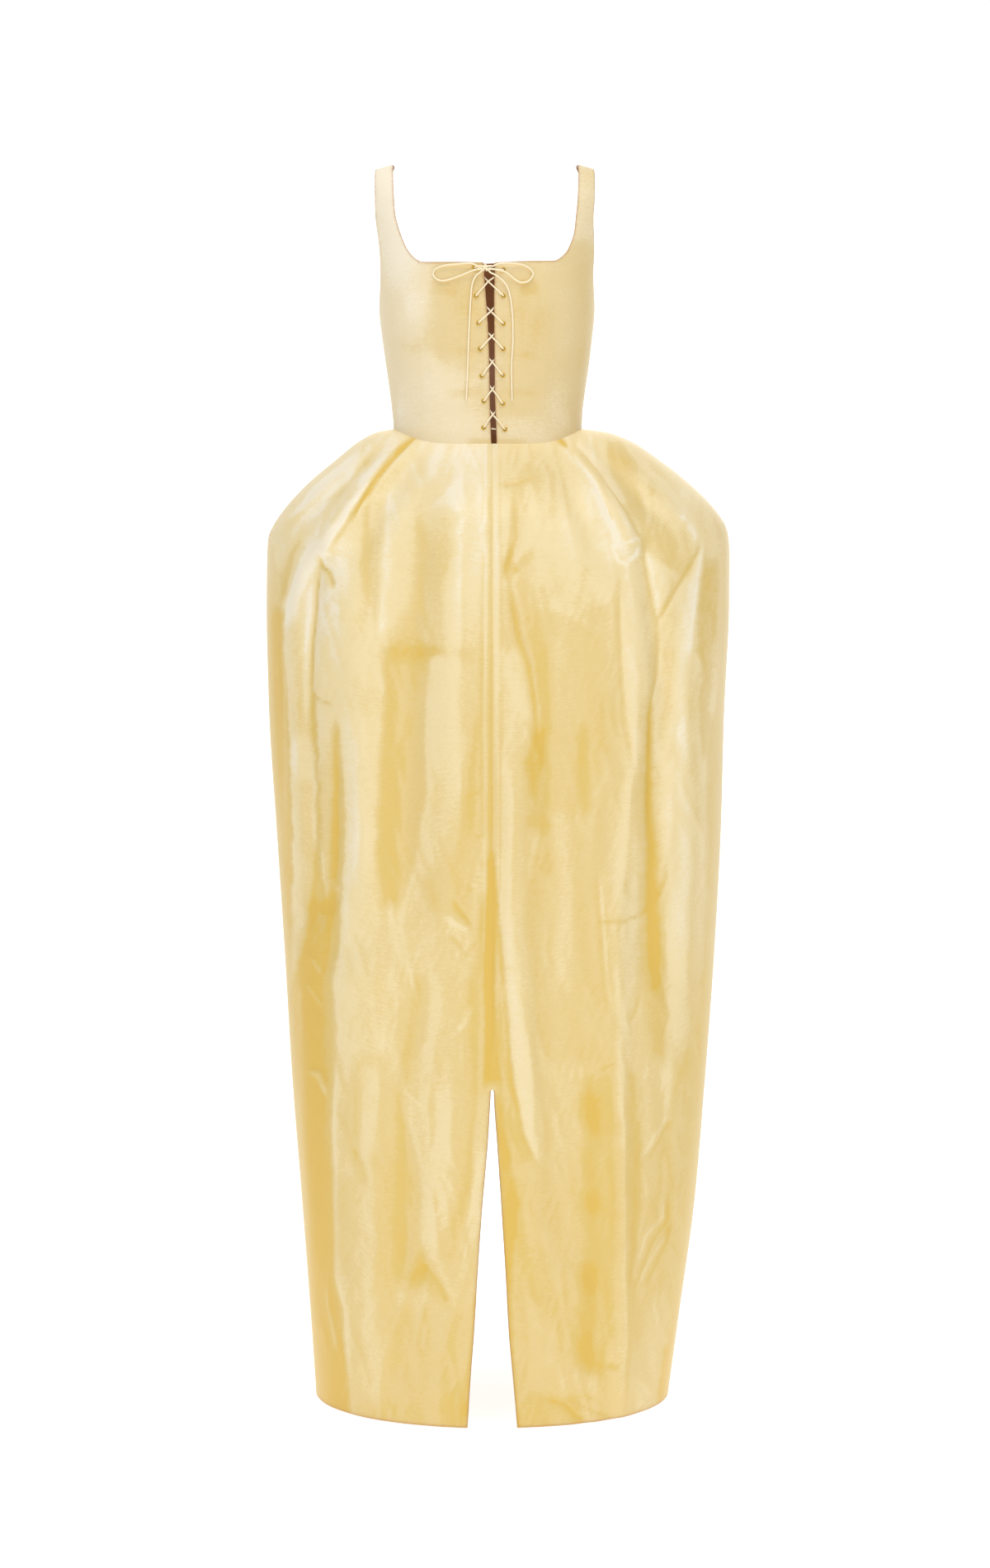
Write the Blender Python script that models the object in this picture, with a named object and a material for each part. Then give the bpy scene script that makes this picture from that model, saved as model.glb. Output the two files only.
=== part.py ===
# An evening gown of stiff silk, laced up the back, in the hollow form that it has when it is worn.
# Metres, +Z up. The back faces -Y and +X is the right hand side as seen from behind.
# The origin is midway between the straps on the shoulder line, where the gown hangs from its wearer.

import math

import bmesh
import bpy
from mathutils import Vector
from mathutils.geometry import delaunay_2d_cdt

BACK = -1
FRONT = 1
LEFT = -1
RIGHT = 1

SEAM_GAP = 0.0003
BODICE_WALL = 0.0012
SKIRT_WALL = 0.0015
BACK_ROUNDING = 0.9        # under 1 makes the plan of each ring fuller than an ellipse at its sides
SEAM_RISE_POWER = 4        # how late the waist seam rises towards the sides
SHOULDER_SLOPE = 0.28
SHOULDER_REACH = 0.09      # the shoulder's slope has died away this far down the strap

BODICE_COLUMNS = ("down", "height", "left", "right", "back", "front")
BODICE_RINGS = (
    (0.000, 0.000, 0.172, 0.150, 0.000, 0.000),
    (0.030, -0.005, 0.169, 0.148, 0.046, 0.044),
    (0.060, -0.023, 0.165, 0.146, 0.080, 0.077),
    (0.090, -0.051, 0.159, 0.142, 0.098, 0.095),
    (0.120, -0.080, 0.150, 0.135, 0.104, 0.103),
    (0.150, -0.110, 0.1425, 0.1285, 0.105, 0.108),
    (0.180, -0.140, 0.1390, 0.1250, 0.103, 0.114),
    (0.220, -0.180, 0.1370, 0.1235, 0.100, 0.118),
    (0.250, -0.210, 0.1335, 0.1205, 0.097, 0.115),
    (0.280, -0.240, 0.1292, 0.1170, 0.094, 0.108),
    (0.310, -0.270, 0.1250, 0.1125, 0.090, 0.100),
    (0.340, -0.300, 0.1213, 0.1090, 0.087, 0.093),
    (0.358, -0.318, 0.1200, 0.1083, 0.086, 0.090),
    (0.390, -0.350, 0.1200, 0.1083, 0.086, 0.089),
)
WAIST_SIDE = -0.3183
WAIST_BACK = -0.3463
WAIST_FRONT = -0.3440

# The neckline and the straps' inner edges, as the cloth's distance down from the shoulder seam and
# the place across, first for the left of the back and then for its right.
NECK_LEFT = (
    (0.000, -0.1185), (0.030, -0.1190), (0.060, -0.1185), (0.090, -0.1172), (0.115, -0.1150),
    (0.1365, -0.1090), (0.1525, -0.1025), (0.1630, -0.0955), (0.1692, -0.0885), (0.1725, -0.0780),
)
NECK_RIGHT = (
    (0.000, 0.1010), (0.030, 0.1022), (0.060, 0.1024), (0.090, 0.1014), (0.115, 0.0992),
    (0.1370, 0.0965), (0.1540, 0.0903), (0.1622, 0.0850), (0.1682, 0.0780), (0.1712, 0.0690),
)
NECK_MIDDLE = 0.1762
FRONT_NECK_RISE = 0.040       # the front's neckline is this much higher than the back's
FRONT_STRAP_SHARE = 1.055     # and below the shoulder its straps' inner edges lie further out
STRAP_EASE = 0.05
STRAP_OUTER_LEFT = (
    (0.000, -0.1385), (0.020, -0.1405), (0.060, -0.1412), (0.090, -0.1408), (0.118, -0.1395),
)
STRAP_OUTER_RIGHT = (
    (0.000, 0.1185), (0.020, 0.1218), (0.060, 0.1228), (0.090, 0.1222), (0.118, 0.1208),
)
# The armhole under the strap: the cloth's distance down, and degrees round from the middle of its face.
ARMHOLE = ((0.150, 72.0), (0.180, 76.0), (0.202, 81.0), (0.214, 86.0))
UNDERARM = 0.217

GAP_COLUMNS = ("height", "left", "right")
LACING_GAP = (
    (-0.120, -0.0115, 0.0028), (-0.145, -0.0100, 0.0026), (-0.175, -0.0078, 0.0018),
    (-0.206, -0.0054, 0.0020), (-0.250, -0.0037, 0.0024), (-0.290, -0.0031, 0.0028),
    (-0.312, -0.0026, 0.0037), (-0.332, -0.0018, 0.0044), (-0.352, -0.0009, 0.0050),
)

# Each pair of eyelets from the top: across and height of the left one, then of the right one.
EYELETS = (
    (-0.0213, -0.1420, 0.0127, -0.1449),
    (-0.0194, -0.1750, 0.0127, -0.1750),
    (-0.0165, -0.2062, 0.0127, -0.2071),
    (-0.0145, -0.2363, 0.0127, -0.2363),
    (-0.0126, -0.2674, 0.0122, -0.2665),
    (-0.0104, -0.2966, 0.0122, -0.2996),
    (-0.0104, -0.3278, 0.0147, -0.3297),
)
# Where the lace crosses itself between one pair and the next, across and height.
CROSSINGS = (
    (-0.0048, -0.1585), (-0.0019, -0.1930), (-0.0009, -0.2220),
    (-0.0002, -0.2515), (0.0000, -0.2830), (0.0003, -0.3125),
)
EYELET_BORE = 0.0016
EYELET_BARREL = 0.0020
EYELET_HOLE = 0.0023
GUARD_RADIUS = 0.0052       # a ring of points that keeps the cloth's facets even round each eyelet
EYELET_FLANGE = 0.0030
EYELET_BACK_FLANGE = 0.0028
EYELET_METAL = 0.0005
EYELET_CLEAR = 0.0004       # between its flanges and the cloth
EYELET_SIDES = 8

# The skirt's rings from the waist seam to the hem. Each ring has a height at its sides, behind and
# in front, and how far it reaches to the left, to the right, back and forward.
SKIRT_COLUMNS = ("side_z", "left", "right", "back_z", "back", "front_z", "front")
SKIRT_RINGS = (
    (-0.3186, 0.1200, 0.1083, -0.3466, 0.0860, -0.3443, 0.0893),
    (-0.3225, 0.1400, 0.1370, -0.3560, 0.1010, -0.3530, 0.1010),
    (-0.3340, 0.1620, 0.1680, -0.3700, 0.1200, -0.3660, 0.1170),
    (-0.3560, 0.1890, 0.2010, -0.3900, 0.1430, -0.3860, 0.1370),
    (-0.3880, 0.2260, 0.2410, -0.4160, 0.1650, -0.4120, 0.1570),
    (-0.4170, 0.2520, 0.2690, -0.4440, 0.1810, -0.4400, 0.1710),
    (-0.4370, 0.2655, 0.2820, -0.4680, 0.1890, -0.4640, 0.1790),
    (-0.4510, 0.2710, 0.2855, -0.4900, 0.1940, -0.4860, 0.1830),
    (-0.4750, 0.2725, 0.2868, -0.5200, 0.1990, -0.5160, 0.1870),
    (-0.5400, 0.2730, 0.2860, -0.5800, 0.2040, -0.5780, 0.1910),
    (-0.6600, 0.2700, 0.2800, -0.6850, 0.2070, -0.6840, 0.1940),
    (-0.8000, 0.2610, 0.2760, -0.8150, 0.2080, -0.8150, 0.1950),
    (-0.9500, 0.2510, 0.2680, -0.9600, 0.2070, -0.9600, 0.1940),
    (-1.1000, 0.2420, 0.2570, -1.1050, 0.2050, -1.1050, 0.1930),
    (-1.2500, 0.2300, 0.2440, -1.2520, 0.2030, -1.2520, 0.1920),
    (-1.3800, 0.2200, 0.2260, -1.3805, 0.2010, -1.3805, 0.1910),
    (-1.4800, 0.2130, 0.2120, -1.4800, 0.2000, -1.4800, 0.1900),
)
SKIRT_ROW_STEPS = (1, 1, 1, 1, 1, 1, 1, 1, 2, 2, 2, 2, 2, 2, 2, 1)

SLIT_COLUMNS = ("height", "left", "right")
SLIT = (
    (-1.0945, -0.0015, 0.0015), (-1.1130, -0.0026, 0.0022), (-1.1500, -0.0047, 0.0049),
    (-1.2260, -0.0112, 0.0100), (-1.3010, -0.0165, 0.0148), (-1.3760, -0.0210, 0.0190),
    (-1.4130, -0.0240, 0.0225), (-1.4800, -0.0282, 0.0283),
)
FRONT_SLIT_WIDENING = 1.3

# The pressed pleats and the largest soft folds, as seen from outside the face they lie in. Each runs
# from one point to another, across and height, with its half width and how far it stands out at its
# two ends. A fold with a depth below 0 is a trough.
BACK_FOLDS = (
    (-0.096, -0.338, -0.194, -0.470, 0.013, 0.004, 0.014),
    (-0.118, -0.335, -0.222, -0.440, 0.012, -0.002, -0.007),
    (-0.078, -0.350, -0.160, -0.480, 0.016, -0.002, -0.006),
    (-0.205, -0.500, -0.216, -0.640, 0.012, -0.007, -0.005),
    (-0.216, -0.640, -0.196, -0.900, 0.015, -0.005, -0.004),
    (-0.165, -0.520, -0.140, -0.900, 0.028, 0.006, 0.005),
    (-0.100, -0.460, -0.098, -0.900, 0.026, -0.006, -0.006),
    (-0.045, -0.420, -0.040, -1.000, 0.030, 0.005, 0.005),
    (-0.098, -0.980, -0.100, -1.440, 0.030, -0.004, -0.003),
    (-0.160, -0.950, -0.150, -1.440, 0.030, 0.004, 0.003),
    (0.088, -0.338, 0.156, -0.468, 0.014, 0.004, 0.014),
    (0.106, -0.335, 0.196, -0.440, 0.013, -0.002, -0.007),
    (0.070, -0.350, 0.118, -0.480, 0.016, -0.002, -0.005),
    (0.176, -0.480, 0.198, -0.640, 0.013, -0.006, -0.006),
    (0.198, -0.640, 0.176, -0.960, 0.016, -0.006, -0.004),
    (0.020, -0.470, 0.036, -0.640, 0.014, -0.006, -0.006),
    (0.025, -0.700, 0.030, -1.080, 0.022, 0.006, 0.006),
    (0.030, -1.080, 0.052, -1.300, 0.022, 0.006, 0.004),
    (0.072, -0.660, 0.085, -1.300, 0.032, -0.005, -0.005),
    (0.140, -0.860, 0.146, -1.460, 0.016, 0.006, 0.007),
    (0.232, -0.540, 0.226, -0.960, 0.024, 0.005, 0.004),
)
FRONT_FOLDS = (
    (-0.090, -0.338, -0.168, -0.470, 0.014, 0.004, 0.013),
    (-0.110, -0.335, -0.205, -0.440, 0.012, -0.002, -0.006),
    (-0.182, -0.490, -0.200, -0.800, 0.014, -0.006, -0.005),
    (-0.140, -0.560, -0.132, -1.200, 0.028, 0.006, 0.005),
    (-0.078, -0.500, -0.084, -1.350, 0.030, -0.006, -0.004),
    (-0.034, -0.460, -0.040, -1.050, 0.026, 0.005, 0.005),
    (0.086, -0.338, 0.172, -0.470, 0.014, 0.004, 0.013),
    (0.104, -0.335, 0.208, -0.440, 0.012, -0.002, -0.006),
    (0.188, -0.490, 0.204, -0.760, 0.014, -0.006, -0.005),
    (0.146, -0.540, 0.140, -1.100, 0.028, 0.006, 0.005),
    (0.084, -0.480, 0.082, -1.300, 0.030, -0.006, -0.005),
    (0.034, -0.470, 0.038, -1.000, 0.026, 0.005, 0.004),
)
FOLD_FADE = 0.030          # how gently a fold's ends run out
SIDE_FADE = 0.86           # folds die away past this share of the half width, so the outline stays clean

BACK_PANEL_COLUMNS = 20
FRONT_PANEL_COLUMNS = 16
PLEAT_DEGREES = 46
PLEAT_SPREAD = 13
PLEAT_DENSITY = 1.6

EDGE_STEP = 0.014
SIDE_SEAM_PARTS = 7
SHEET_STEP = 0.019
SHEET_ROW = 0.87            # rows of points at this share of the step give even triangles
SHEET_CLEAR = 0.62          # no point lies nearer to an edge than this share of the step
GIRTH_SCALE = 0.125         # metres of flat pattern for a radian round the bodice
CURVE_PARTS = 24
SHARP_DEGREES = 50

LACE_RADIUS = 0.0010
LACING_SIDES = 6
LACING_BOW = 0.00016        # how far the lacing's straight runs may stray from its smooth line
LACING_STEP = 0.0075
CORD_RESOLUTION = 2
CORD_STEP = 0.0052
ROUTE_STEP = 0.0004
# The lace's way through an eyelet: steps away from the gap, up, and out from the cloth.
EYELET_RISE = ((0.0002, 0.0000, -0.0006), (-0.0006, 0.0005, 0.0018), (-0.0022, 0.0019, 0.0027))
EYELET_DIVE = ((0.0022, -0.0019, -0.0039), (0.0005, -0.0005, -0.0031))
KNOT_RISE = ((0.0002, -0.0006), (-0.0006, 0.0018), (-0.0026, 0.0028))
KNOT_REACH = ((0.0040, 0.0017), (0.0000, 0.0015))
BAR_STEPS = ((0.0004, -0.0030), (0.0024, -0.0040))
# Its way over the near panel's edge and under the far one's, for a stretch that starts on each side:
# what a step is measured from, how far back it lies from there, and how far out from the cloth.
CROSSING_STEPS = {
    LEFT: (
        ("near eyelet", -0.0048, 0.0023), ("near edge", 0.0012, 0.0017), ("meeting", 0.0000, 0.0012),
        ("far edge", 0.0016, -0.0003), ("far edge", 0.0016, -0.0012), ("far edge", 0.0006, -0.0030),
        ("far edge", -0.0008, -0.0036), ("far edge", -0.0024, -0.0036), ("far eyelet", 0.0050, -0.0036),
    ),
    RIGHT: (
        ("near eyelet", -0.0048, 0.0023), ("near edge", 0.0012, 0.0017), ("near edge", 0.0000, 0.0015),
        ("near edge", -0.0010, 0.0011), ("meeting", 0.0000, -0.0012), ("far edge", 0.0016, -0.0015),
        ("far edge", 0.0006, -0.0030), ("far edge", -0.0008, -0.0036), ("far edge", -0.0024, -0.0036),
        ("far eyelet", 0.0050, -0.0036),
    ),
}
# Each free stretch of the lace, as points across, height and distance out from the bodice.
LOOP_LEFT = (
    (-0.0168, -0.1414, 0.0053), (-0.0240, -0.1378, 0.0046), (-0.0400, -0.1378, 0.0030),
    (-0.0560, -0.1386, 0.0023), (-0.0660, -0.1420, 0.0021), (-0.0690, -0.1480, 0.0019),
    (-0.0650, -0.1540, 0.0017), (-0.0560, -0.1560, 0.0017), (-0.0430, -0.1530, 0.0020),
    (-0.0300, -0.1486, 0.0034), (-0.0220, -0.1458, 0.0048), (-0.0168, -0.1448, 0.0053),
)
LOOP_RIGHT = (
    (0.0004, -0.1414, 0.0053), (0.0080, -0.1382, 0.0048), (0.0220, -0.1372, 0.0032),
    (0.0360, -0.1388, 0.0023), (0.0450, -0.1440, 0.0020), (0.0470, -0.1500, 0.0018),
    (0.0420, -0.1570, 0.0017), (0.0330, -0.1590, 0.0017), (0.0250, -0.1550, 0.0022),
    (0.0170, -0.1490, 0.0044), (0.0090, -0.1460, 0.0052), (0.0004, -0.1448, 0.0053),
)
TAIL_LEFT = (
    (-0.0142, -0.1485, 0.0052), (-0.0200, -0.1535, 0.0040), (-0.0238, -0.1640, 0.0027),
    (-0.0252, -0.1780, 0.0022), (-0.0266, -0.2000, 0.0017), (-0.0280, -0.2300, 0.0016),
    (-0.0292, -0.2650, 0.0016), (-0.0306, -0.2960, 0.0016),
)
TAIL_RIGHT = (
    (-0.0022, -0.1487, 0.0052), (0.0060, -0.1530, 0.0044), (0.0155, -0.1620, 0.0034),
    (0.0205, -0.1760, 0.0026), (0.0232, -0.1980, 0.0018), (0.0238, -0.2260, 0.0016),
    (0.0222, -0.2560, 0.0016), (0.0228, -0.2960, 0.0016),
)
KNOT_PLACE = (-0.0082, -0.1431, 0.0053)
KNOT_HALF_SIZE = (0.0080, 0.0026, 0.0044)

PANEL_COLOUR = (0.80, 0.62, 0.30, 1.0)
SKIRT_COLOUR = (0.79, 0.58, 0.24, 1.0)
LACE_COLOUR = (0.90, 0.78, 0.52, 1.0)
BRASS_COLOUR = (0.72, 0.50, 0.14, 1.0)


def clear_scene():
    for item in list(bpy.data.objects):
        bpy.data.objects.remove(item, do_unlink=True)


def make_material(name, colour, roughness, metallic):
    material = bpy.data.materials.new(name)
    material.use_nodes = True
    shader = material.node_tree.nodes["Principled BSDF"]
    shader.inputs["Base Color"].default_value = colour
    shader.inputs["Roughness"].default_value = roughness
    shader.inputs["Metallic"].default_value = metallic
    return material


def blend(low, high, value):
    share = min(max((value - low) / (high - low), 0.0), 1.0)
    return share * share * (3.0 - 2.0 * share)


def smooth_column(places, values):
    """A smooth curve through the values that never swings past them."""
    spans = [b - a for a, b in zip(places, places[1:])]
    slopes = [(b - a) / span for a, b, span in zip(values, values[1:], spans)]
    tangents = [slopes[0]]
    for before, after in zip(slopes, slopes[1:]):
        tangents.append(0.0 if before * after <= 0 else 2.0 * before * after / (before + after))
    tangents.append(slopes[-1])

    def read(place):
        place = min(max(place, places[0]), places[-1])
        index = 0
        while index < len(spans) - 1 and place > places[index + 1]:
            index += 1
        t = (place - places[index]) / spans[index]
        low, high = values[index], values[index + 1]
        low_pull, high_pull = tangents[index] * spans[index], tangents[index + 1] * spans[index]
        return (
            low * (2 * t ** 3 - 3 * t ** 2 + 1)
            + low_pull * (t ** 3 - 2 * t ** 2 + t)
            + high * (3 * t ** 2 - 2 * t ** 3)
            + high_pull * (t ** 3 - t ** 2)
        )

    return read


def smooth_table(rows, names, key=None):
    """A reader for each column of a table, by the key column or by the row's number."""
    columns = dict(zip(names, zip(*rows)))
    places = list(columns[key]) if key else list(range(len(rows)))
    turn = 1.0
    if places[0] > places[-1]:
        turn = -1.0
    places = [turn * place for place in places]
    readers = {name: smooth_column(places, columns[name]) for name in names if name != key}
    return lambda name, place: readers[name](turn * place)


bodice_at = smooth_table(BODICE_RINGS, BODICE_COLUMNS, "down")
skirt_at = smooth_table(SKIRT_RINGS, SKIRT_COLUMNS)
gap_at = smooth_table(LACING_GAP, GAP_COLUMNS, "height")
slit_at = smooth_table(SLIT, SLIT_COLUMNS, "height")
HEIGHTS, DOWNS = zip(*((-row[1], row[0]) for row in BODICE_RINGS))
down_of_height = smooth_column(HEIGHTS, DOWNS)


def through(points, step):
    """Points a step apart on a smooth curve through the given ones."""
    given = [Vector(point) for point in points]
    ends = [2 * given[0] - given[1]] + given + [2 * given[-1] - given[-2]]
    fine = [given[0]]
    for before, start, stop, after in zip(ends, ends[1:], ends[2:], ends[3:]):
        for part in range(1, CURVE_PARTS + 1):
            t = part / CURVE_PARTS
            fine.append(0.5 * (
                2 * start + (stop - before) * t
                + (2 * before - 5 * start + 4 * stop - after) * t ** 2
                + (3 * start - before - 3 * stop + after) * t ** 3
            ))
    lengths = [0.0]
    for a, b in zip(fine, fine[1:]):
        lengths.append(lengths[-1] + (b - a).length)
    count = max(1, round(lengths[-1] / step))
    picked = []
    index = 0
    for number in range(count + 1):
        wanted = lengths[-1] * number / count
        while index < len(fine) - 2 and lengths[index + 1] < wanted:
            index += 1
        span = lengths[index + 1] - lengths[index]
        share = (wanted - lengths[index]) / span if span else 0.0
        picked.append(fine[index].lerp(fine[index + 1], share))
    return picked


def half_width(side, down):
    return bodice_at("left" if side == LEFT else "right", down)


def side_of(across):
    return LEFT if across < 0 else RIGHT


def bodice_surface(face, angle, down):
    """A point of the bodice's outside, at an angle from the middle of its face to 90 degrees at its sides."""
    side = side_of(angle)
    across = half_width(side, down) * math.sin(angle)
    depth = bodice_at("back" if face == BACK else "front", down)
    out = SEAM_GAP / 2 + depth * max(math.cos(angle), 0.0) ** BACK_ROUNDING
    inner = NECK_LEFT[0][1] if side == LEFT else NECK_RIGHT[0][1]
    slope = SHOULDER_SLOPE * max(abs(across) - abs(inner), 0.0)
    height = bodice_at("height", down) - slope * (1.0 - blend(0.0, SHOULDER_REACH, down))
    return Vector((across, face * out, height))


def bodice_normal(face, angle, down):
    tiny = 0.0005
    by_angle = bodice_surface(face, angle + tiny, down) - bodice_surface(face, angle - tiny, down)
    lower = max(down - tiny, 0.0)
    by_down = bodice_surface(face, angle, down + tiny) - bodice_surface(face, angle, lower)
    normal = by_down.cross(by_angle) if face == BACK else by_angle.cross(by_down)
    return normal.normalized()


def angle_of(across, down):
    return math.asin(max(min(across / half_width(side_of(across), down), 1.0), -1.0))


def back_point(across, height, out):
    down = down_of_height(-height)
    angle = angle_of(across, down)
    return bodice_surface(BACK, angle, down) + bodice_normal(BACK, angle, down) * out


def pattern_point(across, down):
    return (angle_of(across, down) * GIRTH_SCALE, down)


def strap_and_armhole(side, outer):
    """From the strap's outer corner round the armhole to the underarm, in the flat pattern."""
    strap = [pattern_point(across, down) for down, across in outer]
    hole = [(side * math.radians(degrees) * GIRTH_SCALE, down) for down, degrees in ARMHOLE]
    return strap + hole + [(side * math.pi / 2 * GIRTH_SCALE, UNDERARM)]


def back_neck_edge(rows, middle):
    """From the strap's inner corner down and round to the middle of the neckline."""
    return [pattern_point(across, down) for down, across in rows] + [pattern_point(middle, NECK_MIDDLE)]


def front_neck_edge(rows):
    scale = 1.0 - FRONT_NECK_RISE / NECK_MIDDLE
    edge = []
    for down, across in rows:
        share = 1.0 + (FRONT_STRAP_SHARE - 1.0) * blend(0.0, STRAP_EASE, down)
        edge.append(pattern_point(across * share, down * scale))
    return edge + [pattern_point(0.0, NECK_MIDDLE * scale)]


def even(points):
    flat = [(x, y, 0.0) for x, y in points]
    return [(point.x, point.y) for point in through(flat, EDGE_STEP)]


def seam_height(waist_middle, angle):
    return waist_middle + (WAIST_SIDE - waist_middle) * abs(math.sin(angle)) ** SEAM_RISE_POWER


def waist_edge(face, start, stop):
    """The panel's lower edge from one angle to another, with a point at each of the skirt's columns."""
    middle = WAIST_BACK if face == BACK else WAIST_FRONT
    shares = column_shares(BACK_PANEL_COLUMNS if face == BACK else FRONT_PANEL_COLUMNS)
    columns = {side * math.pi / 2 * share for side in (LEFT, RIGHT) for share in shares}
    low, high = sorted((start, stop))
    spare = math.radians(1.0)
    between = sorted(angle for angle in columns if low + spare < angle < high - spare)
    if start > stop:
        between.reverse()
    edge = []
    for angle in [start] + between + [stop]:
        down = down_of_height(-seam_height(middle, angle) - SEAM_GAP / 2)
        edge.append((angle * GIRTH_SCALE, down))
    return edge


def side_seam(side):
    """Points on the side seam between the waist and the underarm."""
    waist = down_of_height(-WAIST_SIDE + SEAM_GAP / 2)
    downs = [waist + (UNDERARM - waist) * number / SIDE_SEAM_PARTS for number in range(1, SIDE_SEAM_PARTS)]
    return [(side * math.pi / 2 * GIRTH_SCALE, down) for down in downs]


def inside(point, loop):
    x, y = point
    odd = False
    for (x0, y0), (x1, y1) in zip(loop, loop[1:] + loop[:1]):
        if (y0 > y) != (y1 > y) and x < x0 + (x1 - x0) * (y - y0) / (y1 - y0):
            odd = not odd
    return odd


def eyelet_ring(across, height, radius):
    """A true circle round an eyelet's place, laid out in the flat pattern."""
    down = down_of_height(-height)
    ring = []
    for number in range(EYELET_SIDES):
        turn = 2 * math.pi * number / EYELET_SIDES
        ring.append(pattern_point(across + radius * math.cos(turn), down + radius * math.sin(turn)))
    return ring


def flat_sheet(outline, holes):
    """Triangles that fill an outline in the flat pattern, without the holes, and each edge loop."""
    points = list(outline)
    loops = [list(range(len(outline)))]
    guards = []
    rings = [eyelet_ring(across, height, EYELET_HOLE) for across, height in holes]
    for across, height in holes:
        guards += eyelet_ring(across, height, GUARD_RADIUS)
    for ring in rings:
        loops.append(list(range(len(points), len(points) + len(ring))))
        points += ring
    fixed = list(points)
    clear = SHEET_CLEAR * SHEET_STEP
    lows = [min(point[axis] for point in outline) for axis in (0, 1)]
    highs = [max(point[axis] for point in outline) for axis in (0, 1)]
    row = 0
    y = lows[1]
    while y < highs[1]:
        x = lows[0] + (row % 2) * SHEET_STEP / 2
        while x < highs[0]:
            near = min(math.dist((x, y), other) for other in fixed)
            if near > clear and inside((x, y), outline):
                points.append((x, y))
            x += SHEET_STEP
        y += SHEET_STEP * SHEET_ROW
        row += 1
    points += [guard for guard in guards if inside(guard, outline)]
    edges = [(a, b) for loop in loops for a, b in zip(loop, loop[1:] + loop[:1])]
    placed, _, faces, *_ = delaunay_2d_cdt([Vector(point) for point in points], edges, [], 1, 1e-7)
    kept = []
    for face in faces:
        middle = sum((placed[index] for index in face), Vector((0, 0))) / 3
        if not inside(tuple(middle), outline):
            continue
        if any(inside(tuple(middle), ring) for ring in rings):
            continue
        kept.append(tuple(face))
    return placed, kept


def make_object(name, points, faces, material):
    mesh = bpy.data.meshes.new(name)
    mesh.from_pydata([tuple(point) for point in points], [], faces)
    work = bmesh.new()
    work.from_mesh(mesh)
    bmesh.ops.recalc_face_normals(work, faces=work.faces)
    bmesh.ops.triangulate(work, faces=work.faces)
    work.to_mesh(mesh)
    work.free()
    mesh.materials.append(material)
    mesh.shade_smooth()
    mesh.set_sharp_from_angle(angle=math.radians(SHARP_DEGREES))
    item = bpy.data.objects.new(name, mesh)
    bpy.context.collection.objects.link(item)
    return item


def thick_sheet(name, outer, inner, faces, material):
    """A closed wall between two matching sheets of points."""
    count = len(outer)
    used = {}
    for face in faces:
        for a, b in zip(face, face[1:] + face[:1]):
            used[(a, b)] = True
    walls = [(b, a, a + count, b + count) for a, b in used if (b, a) not in used]
    back = [tuple(index + count for index in reversed(face)) for face in faces]
    return make_object(name, outer + inner, list(faces) + back + walls, material)


def bodice_panel(name, face, outline, holes, material):
    placed, faces = flat_sheet(outline, holes)
    outer = []
    inner = []
    for across, down in placed:
        angle = across / GIRTH_SCALE
        point = bodice_surface(face, angle, down)
        normal = bodice_normal(face, angle, down)
        if abs(abs(angle) - math.pi / 2) < 1e-4:
            normal = Vector((normal.x, 0.0, normal.z)).normalized()
        if down < 1e-5:
            normal = Vector((normal.x, 0.0, normal.z)).normalized()
        outer.append(point)
        inner.append(point - normal * BODICE_WALL)
    return thick_sheet(name, outer, inner, faces, material)


def eyelet_place(pair, side):
    left_across, left_height, right_across, right_height = EYELETS[pair]
    return (left_across, left_height) if side == LEFT else (right_across, right_height)


def make_bodice_back(side, name, material):
    rows = NECK_LEFT if side == LEFT else NECK_RIGHT
    outer = STRAP_OUTER_LEFT if side == LEFT else STRAP_OUTER_RIGHT
    column = "left" if side == LEFT else "right"
    top = gap_at(column, bodice_at("height", NECK_MIDDLE))
    neck = even(back_neck_edge(rows, top))
    gap = []
    for height, left, right in LACING_GAP[1:-1]:
        across = left if side == LEFT else right
        gap.append(pattern_point(across, down_of_height(-height)))
    bottom = gap_at(column, WAIST_BACK)
    start = angle_of(bottom, down_of_height(-WAIST_BACK))
    waist = waist_edge(BACK, start, side * math.pi / 2)
    arm = even(strap_and_armhole(side, outer))
    outline = neck + gap + waist + side_seam(side) + arm[::-1]
    holes = [eyelet_place(pair, side) for pair in range(len(EYELETS))]
    return bodice_panel(name, BACK, outline, holes, material)


def make_bodice_front(name, material):
    left_neck = even(front_neck_edge(NECK_LEFT))
    right_neck = even(front_neck_edge(NECK_RIGHT))
    left_arm = even(strap_and_armhole(LEFT, STRAP_OUTER_LEFT))
    right_arm = even(strap_and_armhole(RIGHT, STRAP_OUTER_RIGHT))
    waist = waist_edge(FRONT, math.pi / 2, -math.pi / 2)
    outline = left_neck + right_neck[-2::-1] + right_arm + side_seam(RIGHT)[::-1] + waist
    outline += side_seam(LEFT) + left_arm[::-1]
    return bodice_panel(name, FRONT, outline, [], material)


def fold_relief(face, across, height):
    """How far the cloth stands out at a place, from the folds of its face."""
    relief = 0.0
    for x0, z0, x1, z1, half, depth0, depth1 in (BACK_FOLDS if face == BACK else FRONT_FOLDS):
        run = math.hypot(x1 - x0, z1 - z0)
        along = ((across - x0) * (x1 - x0) + (height - z0) * (z1 - z0)) / run
        aside = abs((across - x0) * (z1 - z0) - (height - z0) * (x1 - x0)) / run
        ends = blend(-FOLD_FADE, FOLD_FADE, along) * blend(-FOLD_FADE, FOLD_FADE, run - along)
        depth = depth0 + (depth1 - depth0) * min(max(along / run, 0.0), 1.0)
        relief += depth * ends * math.exp(-(aside / half) ** 2)
    return relief


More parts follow.
